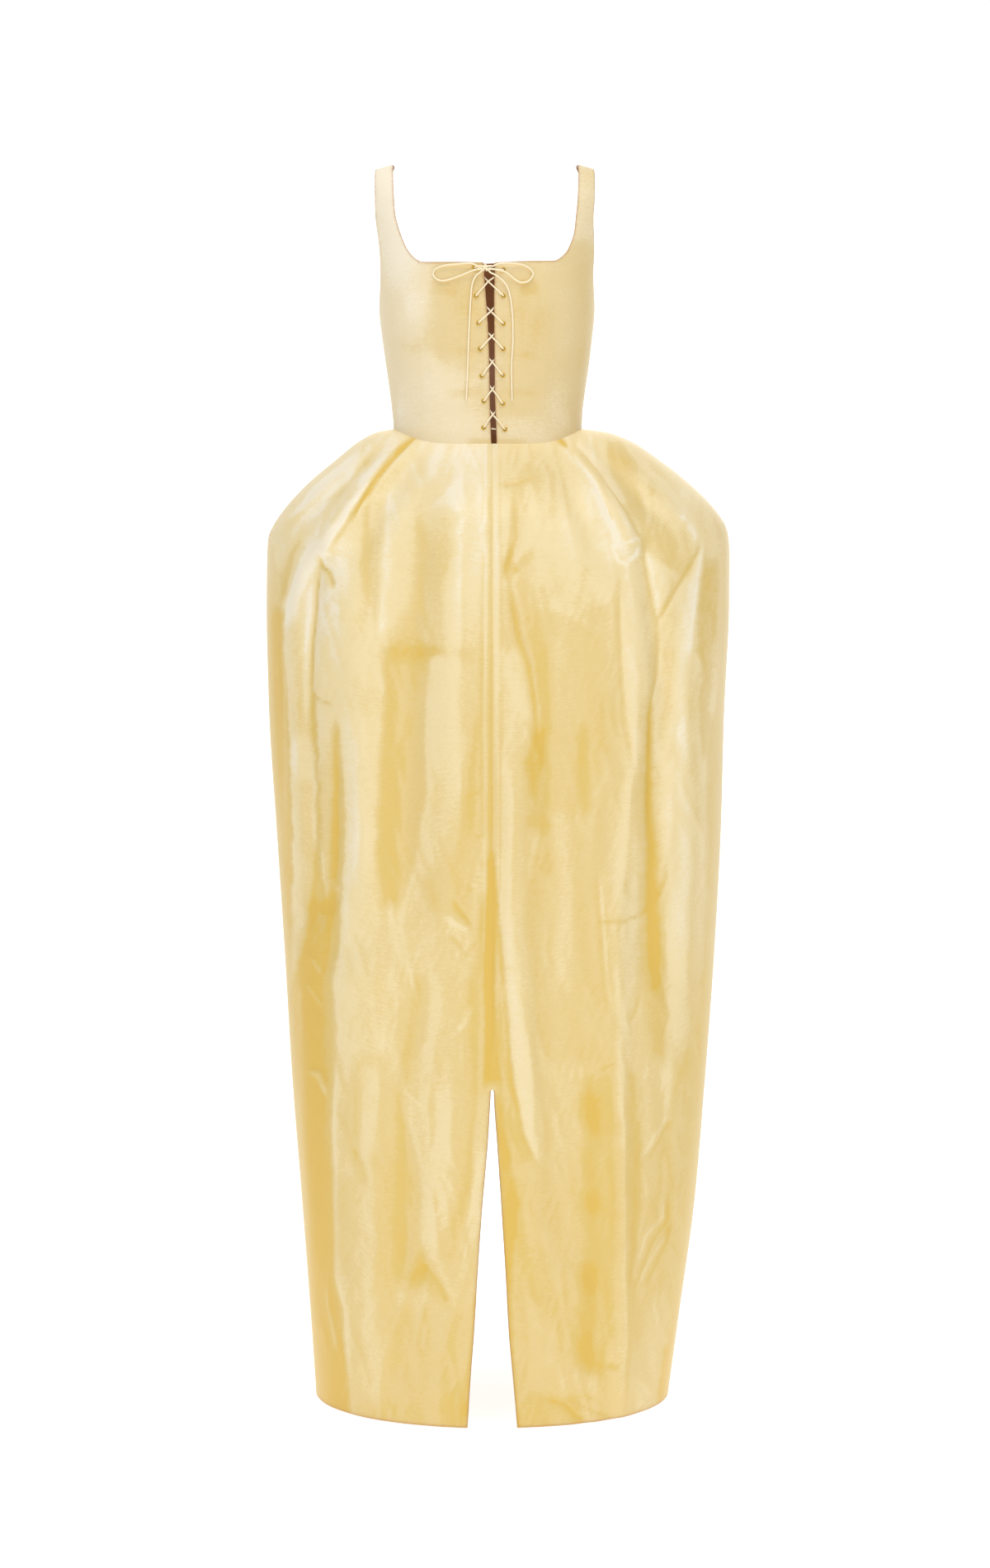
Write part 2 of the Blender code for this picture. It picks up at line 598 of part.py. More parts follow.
def skirt_base(face, angle, row):
    reach = skirt_at("left" if angle < 0 else "right", row)
    middle_z = skirt_at("back_z" if face == BACK else "front_z", row)
    depth = skirt_at("back" if face == BACK else "front", row)
    rise = abs(math.sin(angle)) ** SEAM_RISE_POWER
    height = middle_z + (skirt_at("side_z", row) - middle_z) * rise
    out = SEAM_GAP / 2 + depth * max(math.cos(angle), 0.0) ** BACK_ROUNDING
    return Vector((reach * math.sin(angle), face * out, height))


def base_normal(face, angle, row):
    tiny = 0.001
    by_angle = skirt_base(face, angle + tiny, row) - skirt_base(face, angle - tiny, row)
    by_row = skirt_base(face, angle, row + tiny) - skirt_base(face, angle, max(row - tiny, 0.0))
    normal = by_row.cross(by_angle) if face == BACK else by_angle.cross(by_row)
    return normal.normalized()


def skirt_surface(face, angle, row):
    point = skirt_base(face, angle, row)
    fade = (1.0 - blend(SIDE_FADE, 1.0, abs(math.sin(angle)))) * blend(0.0, 2.0, row)
    return point + base_normal(face, angle, row) * fade * fold_relief(face, point.x, point.z)


def skirt_normal(face, angle, row):
    tiny = 0.004
    by_angle = skirt_surface(face, angle + tiny, row) - skirt_surface(face, angle - tiny, row)
    by_row = skirt_surface(face, angle, row + tiny) - skirt_surface(face, angle, max(row - tiny, 0.0))
    normal = by_row.cross(by_angle) if face == BACK else by_angle.cross(by_row)
    return normal.normalized()


def column_shares(count):
    """Shares of the panel's width, closer together where the pleat is."""
    fine = 360
    weights = []
    for number in range(fine):
        degrees = 90.0 * (number + 0.5) / fine
        weights.append(1.0 + PLEAT_DENSITY * math.exp(-((degrees - PLEAT_DEGREES) / PLEAT_SPREAD) ** 2))
    total = sum(weights)
    shares = [0.0]
    passed = 0.0
    for number, weight in enumerate(weights):
        passed += weight
        while len(shares) < count and passed >= total * len(shares) / count:
            shares.append((number + 1) / fine)
    shares.append(1.0)
    return shares[:count + 1]


def middle_edge(face, side, height):
    """How far the panel's middle edge lies from the centre seam's line."""
    if height > SLIT[0][0]:
        return side * SEAM_GAP / 2
    across = slit_at("left" if side == LEFT else "right", height)
    return across * (FRONT_SLIT_WIDENING if face == FRONT else 1.0)


def skirt_rows():
    rows = []
    for ring, steps in enumerate(SKIRT_ROW_STEPS):
        rows += [ring + step / steps for step in range(steps)]
    return rows + [len(SKIRT_RINGS) - 1]


def make_skirt_panel(name, face, side, columns, material):
    shares = column_shares(columns)
    outer = []
    inner = []
    rows = skirt_rows()
    for row in rows:
        middle_z = skirt_at("back_z" if face == BACK else "front_z", row)
        reach = skirt_at("left" if side == LEFT else "right", row)
        start = math.asin(middle_edge(face, side, middle_z) / reach)
        for number, share in enumerate(shares):
            angle = start + (side * math.pi / 2 - start) * share
            point = skirt_surface(face, angle, row)
            normal = skirt_normal(face, angle, row)
            if number == len(shares) - 1:
                normal.y = 0.0
            if number == 0:
                normal.x = 0.0
            if row == rows[-1]:
                normal.z = 0.0
            outer.append(point)
            inner.append(point - normal.normalized() * SKIRT_WALL)
    faces = []
    width = len(shares)
    for row in range(len(rows) - 1):
        for number in range(width - 1):
            corner = row * width + number
            faces.append((corner, corner + 1, corner + width + 1, corner + width))
    return thick_sheet(name, outer, inner, faces, material)


def make_eyelet(name, across, height, material):
    """A brass ring clenched through the cloth, turned about the cloth's own normal."""
    front = EYELET_CLEAR
    back = -BODICE_WALL - EYELET_CLEAR
    profile = (
        (EYELET_BORE, front + EYELET_METAL), (EYELET_FLANGE, front + EYELET_METAL), (EYELET_FLANGE, front),
        (EYELET_BARREL, front), (EYELET_BARREL, back), (EYELET_BACK_FLANGE, back),
        (EYELET_BACK_FLANGE, back - EYELET_METAL), (EYELET_BORE, back - EYELET_METAL),
    )
    centre = back_point(across, height, 0.0)
    out = (back_point(across, height, 0.01) - centre).normalized()
    right = Vector((0, 0, 1)).cross(out).normalized()
    up = out.cross(right)
    points = []
    faces = []
    for number in range(EYELET_SIDES):
        turn = 2 * math.pi * number / EYELET_SIDES
        spoke = right * math.cos(turn) + up * math.sin(turn)
        points += [centre + spoke * radius + out * level for radius, level in profile]
        following = (number + 1) % EYELET_SIDES
        for step in range(len(profile)):
            beyond = (step + 1) % len(profile)
            faces.append((
                number * len(profile) + step, number * len(profile) + beyond,
                following * len(profile) + beyond, following * len(profile) + step,
            ))
    return make_object(name, points, faces, material)


def crossing(pair, side):
    """One crossing of the lace: out of an eyelet, over the gap, and under the other panel."""
    across, height = eyelet_place(pair, side)
    far_across, far_height = eyelet_place(pair - 1, -side)
    meet_across, meet_height = CROSSINGS[pair - 1]

    def height_at(place):
        low, low_height, high, high_height = across, height, meet_across, meet_height
        if (place - meet_across) * side < 0:
            low, low_height, high, high_height = meet_across, meet_height, far_across, far_height
        return low_height + (place - low) / (high - low) * (high_height - low_height)

    def edge(column):
        place = meet_across
        for _ in range(4):
            place = gap_at(column, height_at(place))
        return place

    anchors = {
        "near eyelet": across,
        "near edge": edge("left" if side == LEFT else "right"),
        "meeting": meet_across,
        "far edge": edge("right" if side == LEFT else "left"),
        "far eyelet": far_across,
    }
    route = [(across + side * step, height + rise, out) for step, rise, out in EYELET_RISE]
    for anchor, step, out in CROSSING_STEPS[side]:
        place = anchors[anchor] + side * step
        route.append((place, height_at(place), out))
    return route + [(far_across + side * step, far_height + rise, out) for step, rise, out in EYELET_DIVE]


def lacing_route():
    """The lace from the knot down one side, behind the lowest pair, and up the other side to the knot."""
    last = len(EYELETS) - 1
    strands = []
    for first_side in (LEFT, RIGHT):
        side = first_side
        route = []
        for pair in range(last, 0, -1):
            route += crossing(pair, side)
            side = -side
        across, height = eyelet_place(0, side)
        knot_end = KNOT_PLACE[0] + side * KNOT_HALF_SIZE[0] / 2
        route += [(across + side * step, height, out) for step, out in KNOT_RISE]
        for (step, out), level in zip(KNOT_REACH, ((height + KNOT_PLACE[1]) / 2, KNOT_PLACE[1])):
            route.append((knot_end + side * step, level, out))
        strands.append(route)
    bar = []
    for side, steps in ((LEFT, BAR_STEPS), (RIGHT, BAR_STEPS[::-1])):
        across, height = eyelet_place(last, side)
        bar += [(across - side * step, height, out) for step, out in steps]
    return strands[0][::-1] + bar + strands[1]


def thinned(points, most_bow, most_step):
    """Leaves out points while the straight run between those kept stays near the line and short."""
    kept = [points[0]]
    skipped = []
    for here in points[1:]:
        run = here - kept[-1]
        bow = max(((point - kept[-1]).cross(run).length / run.length for point in skipped), default=0.0)
        if bow > most_bow or run.length > most_step:
            kept.append(skipped[-1])
            skipped = []
        skipped.append(here)
    return kept + [points[-1]]


def make_tube(name, line, radius, sides, material):
    """A closed tube along a line, its rings carried along without twisting."""
    points = []
    spoke = None
    for index, here in enumerate(line):
        before = line[max(index - 1, 0)]
        after = line[min(index + 1, len(line) - 1)]
        heading = (after - before).normalized()
        if spoke is None:
            spoke = heading.orthogonal()
        spoke = (spoke - heading * spoke.dot(heading)).normalized()
        other = heading.cross(spoke)
        for number in range(sides):
            turn = 2 * math.pi * number / sides
            points.append(here + (spoke * math.cos(turn) + other * math.sin(turn)) * radius)
    faces = []
    for index in range(len(line) - 1):
        for number in range(sides):
            following = (number + 1) % sides
            faces.append((
                index * sides + number, index * sides + following,
                (index + 1) * sides + following, (index + 1) * sides + number,
            ))
    faces.append(tuple(range(sides - 1, -1, -1)))
    faces.append(tuple(range((len(line) - 1) * sides, len(line) * sides)))
    return make_object(name, points, faces, material)


def make_lacing(name, material):
    keys = [back_point(*key) for key in lacing_route()]
    line = thinned(through(keys, ROUTE_STEP), LACING_BOW, LACING_STEP)
    return make_tube(name, line, LACE_RADIUS, LACING_SIDES, material)


def make_cord(name, route, material):
    """A free stretch of the lace, as a round bevelled curve with filled ends."""
    line = through([back_point(*key) for key in route], CORD_STEP)
    curve = bpy.data.curves.new(name, "CURVE")
    curve.dimensions = "3D"
    curve.bevel_depth = LACE_RADIUS
    curve.bevel_resolution = CORD_RESOLUTION
    curve.use_fill_caps = True
    spline = curve.splines.new("POLY")
    spline.points.add(len(line) - 1)
    for point, place in zip(spline.points, line):
        point.co = (*place, 1.0)
    curve.materials.append(material)
    item = bpy.data.objects.new(name, curve)
    bpy.context.collection.objects.link(item)
    return item


def make_knot(name, material):
    """The bow's knot: a rounded wrap that lies flat against the bodice."""
    across, height, out = KNOT_PLACE
    centre = back_point(across, height, out)
    normal = (back_point(across, height, out + 0.01) - centre).normalized()
    right = Vector((0, 0, 1)).cross(normal).normalized()
    up = normal.cross(right)
    if right.x < 0:
        right = -right
    work = bmesh.new()
    bmesh.ops.create_uvsphere(work, u_segments=12, v_segments=8, radius=1.0)
    points = []
    for vertex in work.verts:
        wide, deep, tall = vertex.co
        points.append(
            centre + right * wide * KNOT_HALF_SIZE[0] + normal * deep * KNOT_HALF_SIZE[1]
            + up * tall * KNOT_HALF_SIZE[2]
        )
    faces = [tuple(vertex.index for vertex in face.verts) for face in work.faces]
    work.free()
    return make_object(name, points, faces, material)


def build():
    clear_scene()
    bodice_silk = make_material("bodice silk", PANEL_COLOUR, 0.45, 0.0)
    skirt_silk = make_material("skirt silk", SKIRT_COLOUR, 0.38, 0.0)
    lace_cord = make_material("lace cord", LACE_COLOUR, 0.7, 0.0)
    brass = make_material("brass", BRASS_COLOUR, 0.3, 1.0)

    for side, word in ((LEFT, "left"), (RIGHT, "right")):
        make_bodice_back(side, "bodice_back_" + word, bodice_silk)
        make_skirt_panel("skirt_back_" + word, BACK, side, BACK_PANEL_COLUMNS, skirt_silk)
        make_skirt_panel("skirt_front_" + word, FRONT, side, FRONT_PANEL_COLUMNS, skirt_silk)
        for pair in range(len(EYELETS)):
            across, height = eyelet_place(pair, side)
            make_eyelet(f"eyelet_{word}_{pair + 1}", across, height, brass)
    make_bodice_front("bodice_front", bodice_silk)
    make_lacing("lacing", lace_cord)
    make_knot("bow_knot", lace_cord)
    make_cord("bow_loop_left", LOOP_LEFT, lace_cord)
    make_cord("bow_loop_right", LOOP_RIGHT, lace_cord)
    make_cord("lace_tail_left", TAIL_LEFT, lace_cord)
    make_cord("lace_tail_right", TAIL_RIGHT, lace_cord)


build()
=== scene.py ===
import math

import bmesh
import bpy
import numpy as np
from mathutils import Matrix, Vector
from mathutils.geometry import delaunay_2d_cdt


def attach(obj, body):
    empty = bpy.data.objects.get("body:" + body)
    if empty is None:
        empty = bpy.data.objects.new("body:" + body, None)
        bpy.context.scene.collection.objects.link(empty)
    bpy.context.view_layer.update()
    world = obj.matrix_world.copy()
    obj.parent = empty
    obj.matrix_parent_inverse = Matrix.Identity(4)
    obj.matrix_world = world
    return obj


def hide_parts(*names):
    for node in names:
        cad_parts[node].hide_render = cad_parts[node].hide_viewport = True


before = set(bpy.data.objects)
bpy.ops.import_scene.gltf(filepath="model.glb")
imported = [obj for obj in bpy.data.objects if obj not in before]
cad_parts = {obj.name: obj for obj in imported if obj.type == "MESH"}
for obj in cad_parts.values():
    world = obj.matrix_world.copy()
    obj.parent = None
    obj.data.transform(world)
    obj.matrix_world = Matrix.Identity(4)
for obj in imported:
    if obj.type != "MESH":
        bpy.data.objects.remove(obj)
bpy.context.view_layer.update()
scene = bpy.context.scene
back, front = -1, 1
left, right = -1, 1
print("frame loaded:", len(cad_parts), "nodes")

# Camera, level, 3.2 m behind the gown. At the gown's middle a pixel is a millimetre.
viewer = {"away": 3.2, "across": 0.003, "height": -0.748, "pixelsPerMetre": 1000.0, "middle": (600.0, 950.0)}


def makeCamera():
    camera = bpy.data.cameras.new("gownCamera")
    tallSide = 2 * viewer["middle"][1] / viewer["pixelsPerMetre"]
    camera.lens = camera.sensor_width * viewer["away"] / tallSide
    camera.clip_end = 50.0
    eye = bpy.data.objects.new("gownCamera", camera)
    eye.location = (viewer["across"], -viewer["away"], viewer["height"])
    eye.rotation_euler = (math.radians(90), 0.0, 0.0)
    scene.collection.objects.link(eye)
    scene.camera = eye


makeCamera()
print("camera placed")

# The gown's cut, as the frame has it, so that each shell lies on its solid.
cut = {
    "seamGap": 0.00002, "bodiceWall": 0.0012, "skirtWall": 0.0015, "rounding": 0.9, "seamRise": 4,
    "shoulderSlope": 0.28, "shoulderReach": 0.09, "girthScale": 0.125,
    "waistSide": -0.31858, "waistBack": -0.34658, "waistFront": -0.34428,
    "neckMiddle": 0.1762, "frontNeckRise": 0.040, "frontNeckDroop": 0.0075, "frontStrapShare": 1.055,
    "strapEase": 0.05, "droopAcross": (0.010, 0.060), "droopDown": (0.09, 0.16), "underarm": 0.217,
    "frontSlitWidening": 1.3,
}
bodiceRings = (     # down, height, left, right, back, front
    (0.000, 0.000, 0.172, 0.150, 0.000, 0.000),
    (0.030, -0.005, 0.169, 0.148, 0.046, 0.044),
    (0.060, -0.023, 0.165, 0.146, 0.080, 0.077),
    (0.090, -0.051, 0.159, 0.142, 0.098, 0.095),
    (0.120, -0.080, 0.150, 0.135, 0.104, 0.103),
    (0.150, -0.110, 0.1425, 0.1285, 0.105, 0.108),
    (0.180, -0.140, 0.1390, 0.1250, 0.103, 0.114),
    (0.220, -0.180, 0.1370, 0.1235, 0.100, 0.118),
    (0.250, -0.210, 0.1335, 0.1205, 0.097, 0.115),
    (0.280, -0.240, 0.1292, 0.1170, 0.094, 0.108),
    (0.310, -0.270, 0.1250, 0.1125, 0.090, 0.100),
    (0.340, -0.300, 0.1213, 0.1090, 0.087, 0.093),
    (0.358, -0.318, 0.1200, 0.1083, 0.086, 0.090),
    (0.390, -0.350, 0.1200, 0.1083, 0.086, 0.089),
)
neckLeft = (        # down, across
    (0.000, -0.1185), (0.030, -0.1190), (0.060, -0.1185), (0.090, -0.1172), (0.115, -0.1150),
    (0.1365, -0.1090), (0.1525, -0.1025), (0.1630, -0.0955), (0.1692, -0.0885), (0.1725, -0.0780),
)
neckRight = (
    (0.000, 0.1010), (0.030, 0.1022), (0.060, 0.1024), (0.090, 0.1014), (0.115, 0.0992),
    (0.1370, 0.0965), (0.1540, 0.0903), (0.1622, 0.0850), (0.1682, 0.0780), (0.1712, 0.0690),
)
strapLeft = ((0.000, -0.1385), (0.020, -0.1405), (0.060, -0.1412), (0.090, -0.1408), (0.118, -0.1395))
strapRight = ((0.000, 0.1185), (0.020, 0.1218), (0.060, 0.1228), (0.090, 0.1222), (0.118, 0.1208))
armhole = ((0.150, 72.0), (0.180, 76.0), (0.202, 81.0), (0.214, 86.0))    # down, degrees round
lacingGap = (       # height, left, right
    (-0.120, -0.0115, 0.0028), (-0.145, -0.0100, 0.0026), (-0.175, -0.0078, 0.0018),
    (-0.206, -0.0054, 0.0020), (-0.250, -0.0037, 0.0024), (-0.290, -0.0031, 0.0028),
    (-0.312, -0.0026, 0.0037), (-0.332, -0.0018, 0.0044), (-0.352, -0.0009, 0.0050),
)
eyeletPlaces = (    # left across and height, right across and height
    (-0.0213, -0.1420, 0.0127, -0.1449), (-0.0194, -0.1750, 0.0127, -0.1750),
    (-0.0165, -0.2062, 0.0127, -0.2071), (-0.0145, -0.2363, 0.0127, -0.2363),
    (-0.0126, -0.2674, 0.0122, -0.2665), (-0.0104, -0.2966, 0.0122, -0.2996),
    (-0.0104, -0.3278, 0.0147, -0.3297),
)
skirtRings = (      # side_z, left, right, back_z, back, front_z, front
    (-0.3186, 0.1200, 0.1083, -0.3466, 0.0860, -0.3443, 0.0893),
    (-0.3225, 0.1400, 0.1370, -0.3560, 0.1010, -0.3530, 0.1010),
    (-0.3340, 0.1620, 0.1680, -0.3700, 0.1200, -0.3660, 0.1170),
    (-0.3560, 0.1890, 0.2010, -0.3900, 0.1430, -0.3860, 0.1370),
    (-0.3880, 0.2260, 0.2410, -0.4160, 0.1650, -0.4120, 0.1570),
    (-0.4170, 0.2520, 0.2690, -0.4440, 0.1810, -0.4400, 0.1710),
    (-0.4370, 0.2655, 0.2820, -0.4680, 0.1890, -0.4640, 0.1790),
    (-0.4510, 0.2710, 0.2855, -0.4900, 0.1940, -0.4860, 0.1830),
    (-0.4750, 0.2725, 0.2868, -0.5200, 0.1990, -0.5160, 0.1870),
    (-0.5400, 0.2730, 0.2860, -0.5800, 0.2040, -0.5780, 0.1910),
    (-0.6600, 0.2700, 0.2800, -0.6850, 0.2070, -0.6840, 0.1940),
    (-0.8000, 0.2610, 0.2760, -0.8150, 0.2080, -0.8150, 0.1950),
    (-0.9500, 0.2510, 0.2680, -0.9600, 0.2070, -0.9600, 0.1940),
    (-1.1000, 0.2420, 0.2570, -1.1050, 0.2050, -1.1050, 0.1930),
    (-1.2500, 0.2300, 0.2440, -1.2520, 0.2030, -1.2520, 0.1920),
    (-1.3800, 0.2200, 0.2260, -1.3805, 0.2010, -1.3805, 0.1910),
    (-1.4800, 0.2130, 0.2120, -1.4800, 0.2000, -1.4800, 0.1900),
)
slit = (            # height, left, right
    (-1.0945, -0.0015, 0.0015), (-1.1130, -0.0026, 0.0022), (-1.1500, -0.0047, 0.0049),
    (-1.2260, -0.0112, 0.0100), (-1.3010, -0.0165, 0.0148), (-1.3760, -0.0210, 0.0190),
    (-1.4130, -0.0240, 0.0225), (-1.4800, -0.0282, 0.0283),
)
backFolds = (       # x0, z0, x1, z1, half width, depth at each end
    (-0.096, -0.338, -0.194, -0.470, 0.013, 0.004, 0.014),
    (-0.118, -0.335, -0.222, -0.440, 0.012, -0.002, -0.007),
    (-0.078, -0.350, -0.160, -0.480, 0.016, -0.002, -0.006),
    (-0.205, -0.500, -0.216, -0.640, 0.012, -0.007, -0.005),
    (-0.216, -0.640, -0.196, -0.900, 0.015, -0.005, -0.004),
    (-0.165, -0.520, -0.140, -0.900, 0.028, 0.006, 0.005),
    (-0.100, -0.460, -0.098, -0.900, 0.026, -0.006, -0.006),
    (-0.045, -0.420, -0.040, -1.000, 0.030, 0.005, 0.005),
    (-0.098, -0.980, -0.100, -1.440, 0.030, -0.004, -0.003),
    (-0.160, -0.950, -0.150, -1.440, 0.030, 0.004, 0.003),
    (0.088, -0.338, 0.156, -0.468, 0.014, 0.004, 0.014),
    (0.106, -0.335, 0.196, -0.440, 0.013, -0.002, -0.007),
    (0.070, -0.350, 0.118, -0.480, 0.016, -0.002, -0.005),
    (0.176, -0.480, 0.198, -0.640, 0.013, -0.006, -0.006),
    (0.198, -0.640, 0.176, -0.960, 0.016, -0.006, -0.004),
    (0.020, -0.470, 0.036, -0.640, 0.014, -0.006, -0.006),
    (0.025, -0.700, 0.030, -1.080, 0.022, 0.006, 0.006),
    (0.030, -1.080, 0.052, -1.300, 0.022, 0.006, 0.004),
    (0.072, -0.660, 0.085, -1.300, 0.032, -0.005, -0.005),
    (0.140, -0.860, 0.146, -1.460, 0.016, 0.006, 0.007),
    (0.232, -0.540, 0.226, -0.960, 0.024, 0.005, 0.004),
)
frontFolds = (
    (-0.090, -0.338, -0.168, -0.470, 0.014, 0.004, 0.013),
    (-0.110, -0.335, -0.205, -0.440, 0.012, -0.002, -0.006),
    (-0.182, -0.490, -0.200, -0.800, 0.014, -0.006, -0.005),
    (-0.140, -0.560, -0.132, -1.200, 0.028, 0.006, 0.005),
    (-0.078, -0.500, -0.084, -1.350, 0.030, -0.006, -0.004),
    (-0.034, -0.460, -0.040, -1.050, 0.026, 0.005, 0.005),
    (0.086, -0.338, 0.172, -0.470, 0.014, 0.004, 0.013),
    (0.104, -0.335, 0.208, -0.440, 0.012, -0.002, -0.006),
    (0.188, -0.490, 0.204, -0.760, 0.014, -0.006, -0.005),
    (0.146, -0.540, 0.140, -1.100, 0.028, 0.006, 0.005),
    (0.084, -0.480, 0.082, -1.300, 0.030, -0.006, -0.005),
    (0.034, -0.470, 0.038, -1.000, 0.026, 0.005, 0.004),
)
foldFade = 0.030
sideFade = 0.86


def smoothStep(low, high, value):
    share = np.clip((value - low) / (high - low), 0.0, 1.0)
    return share * share * (3.0 - 2.0 * share)


def smoothColumn(places, values):       # a smooth curve through the values that never swings past them
    places, values = np.asarray(places, float), np.asarray(values, float)
    spans = np.diff(places)
    slopes = np.diff(values) / spans
    before, after = slopes[:-1], slopes[1:]
    alike = before * after > 0
    middle = np.where(alike, 2 * before * after / np.where(alike, before + after, 1.0), 0.0)
    tangents = np.concatenate([slopes[:1], middle, slopes[-1:]])

    def read(place):
        place = np.clip(place, places[0], places[-1])
        index = np.clip(np.searchsorted(places, place) - 1, 0, len(spans) - 1)
        t = (place - places[index]) / spans[index]
        return (
            values[index] * (2 * t ** 3 - 3 * t ** 2 + 1)
            + tangents[index] * spans[index] * (t ** 3 - 2 * t ** 2 + t)
            + values[index + 1] * (3 * t ** 2 - 2 * t ** 3)
            + tangents[index + 1] * spans[index] * (t ** 3 - t ** 2)
        )

    return read


def smoothTable(rows, names, key=None):
    columns = dict(zip(names, np.array(rows).T))
    places = columns[key] if key else np.arange(len(rows), dtype=float)
    turn = -1.0 if places[0] > places[-1] else 1.0
    readers = {name: smoothColumn(turn * places, columns[name]) for name in names if name != key}
    return lambda name, place: readers[name](turn * np.asarray(place, float))


bodiceAt = smoothTable(bodiceRings, ("down", "height", "left", "right", "back", "front"), "down")
skirtAt = smoothTable(skirtRings, ("side_z", "left", "right", "back_z", "back", "front_z", "front"))
gapAt = smoothTable(lacingGap, ("height", "left", "right"), "height")
slitAt = smoothTable(slit, ("height", "left", "right"), "height")
downOfHeight = smoothColumn([-row[1] for row in bodiceRings], [row[0] for row in bodiceRings])


def unit(vectors):
    return vectors / np.maximum(np.linalg.norm(vectors, axis=-1, keepdims=True), 1e-12)


def faceWord(face):
    return "back" if face == back else "front"


def sideWord(side):
    return "left" if side == left else "right"


def bodiceSurface(face, angle, down):
    angle, down = np.broadcast_arrays(np.asarray(angle, float), np.asarray(down, float))
    across = np.where(angle < 0, bodiceAt("left", down), bodiceAt("right", down)) * np.sin(angle)
    depth = bodiceAt(faceWord(face), down)
    out = cut["seamGap"] / 2 + depth * np.maximum(np.cos(angle), 0.0) ** cut["rounding"]
    strapEdge = np.where(angle < 0, -neckLeft[0][1], neckRight[0][1])
    slope = cut["shoulderSlope"] * np.maximum(np.abs(across) - strapEdge, 0.0)
    height = bodiceAt("height", down) - slope * (1.0 - smoothStep(0.0, cut["shoulderReach"], down))
    return np.stack([across, face * out, height], axis=-1)


def outward(face, surface, first, second, tiny):   # normal of any surface of two numbers
    byFirst = surface(face, first + tiny, second) - surface(face, first - tiny, second)
    bySecond = surface(face, first, second + tiny) - surface(face, first, np.maximum(second - tiny, 0.0))
    turn = 1.0 if face == back else -1.0
    return unit(turn * np.cross(bySecond, byFirst))


def bodiceNormal(face, angle, down):
    return outward(face, bodiceSurface, angle, down, 0.0005)


def angleOf(across, down):
    width = np.where(np.asarray(across) < 0, bodiceAt("left", down), bodiceAt("right", down))
    return np.arcsin(np.clip(across / width, -1.0, 1.0))


def backPoint(across, height, out):
    down = downOfHeight(-height)
    angle = angleOf(across, down)
    return Vector(bodiceSurface(back, angle, down) + bodiceNormal(back, angle, down) * out)


def foldRelief(face, across, height):
    relief = np.zeros_like(across)
    for x0, z0, x1, z1, half, depth0, depth1 in (backFolds if face == back else frontFolds):
        run = math.hypot(x1 - x0, z1 - z0)
        along = ((across - x0) * (x1 - x0) + (height - z0) * (z1 - z0)) / run
        aside = ((across - x0) * (z1 - z0) - (height - z0) * (x1 - x0)) / run
        ends = smoothStep(-foldFade, foldFade, along) * smoothStep(-foldFade, foldFade, run - along)
        depth = depth0 + (depth1 - depth0) * np.clip(along / run, 0.0, 1.0)
        relief += depth * ends * np.exp(-(aside / half) ** 2)
    return relief


def skirtBase(face, angle, row):
    reach = np.where(angle < 0, skirtAt("left", row), skirtAt("right", row))
    middle = skirtAt(faceWord(face) + "_z", row)
    rise = np.abs(np.sin(angle)) ** cut["seamRise"]
    height = middle + (skirtAt("side_z", row) - middle) * rise
    out = cut["seamGap"] / 2 + skirtAt(faceWord(face), row) * np.maximum(np.cos(angle), 0.0) ** cut["rounding"]
    return np.stack([reach * np.sin(angle), face * out, height], axis=-1)


def sideShare(angle, row):              # 1 over most of a face, 0 at the side seams and the waist seam
    return (1.0 - smoothStep(sideFade, 1.0, np.abs(np.sin(angle)))) * smoothStep(0.0, 2.0, row)


def skirtSurface(face, angle, row):
    point = skirtBase(face, angle, row)
    normal = outward(face, skirtBase, angle, row, 0.001)
    relief = sideShare(angle, row) * foldRelief(face, point[..., 0], point[..., 2])
    return point + normal * relief[..., None]


def through(points, step):              # points a step apart on a smooth curve through the given ones
    given = [Vector(point) for point in points]
    ends = [2 * given[0] - given[1]] + given + [2 * given[-1] - given[-2]]
    fine = [given[0]]
    for before, start, stop, after in zip(ends, ends[1:], ends[2:], ends[3:]):
        for part in range(1, 25):
            t = part / 24
            fine.append(0.5 * (
                2 * start + (stop - before) * t
                + (2 * before - 5 * start + 4 * stop - after) * t ** 2
                + (3 * start - before - 3 * stop + after) * t ** 3
            ))
    fine = np.array(fine)
    lengths = np.concatenate([[0.0], np.cumsum(np.linalg.norm(np.diff(fine, axis=0), axis=1))])
    wanted = np.linspace(0.0, lengths[-1], max(1, round(lengths[-1] / step)) + 1)
    return np.stack([np.interp(wanted, lengths, fine[:, axis]) for axis in range(3)], axis=-1)


def lengthOf(line):
    return float(np.linalg.norm(np.diff(line, axis=0), axis=1).sum())


# Node helpers
def linear(colour):                     # a colour seen on screen, as the shader wants it
    return (*(((c / 255 + 0.055) / 1.055) ** 2.4 if c > 10 else c / 255 / 12.92 for c in colour), 1.0)


def fill(tree, made, inputs):           # sets a node's inputs, or links them to a socket or a node's first output
    for name, value in inputs.items():
        if isinstance(value, bpy.types.Node):
            value = value.outputs[0]
        if isinstance(value, bpy.types.NodeSocket):
            tree.links.new(value, made.inputs[name])
        else:
            made.inputs[name].default_value = value


def node(tree, kind, inputs=None, **settings):
    made = tree.nodes.new(kind)
    for name, value in settings.items():
        setattr(made, name, value)
    fill(tree, made, inputs or {})
    return made


def mathNode(tree, operation, *values):
    return node(tree, "ShaderNodeMath", dict(enumerate(values)), operation=operation).outputs[0]


def mixColours(tree, share, first, second):
    mix = node(tree, "ShaderNodeMix", {"Factor": share, "A": first, "B": second}, data_type="RGBA")
    return mix.outputs["Result"]


def newMaterial(name):
    material = bpy.data.materials.new(name)
    material.use_nodes = True
    tree = material.node_tree
    return material, tree, tree.nodes["Principled BSDF"]


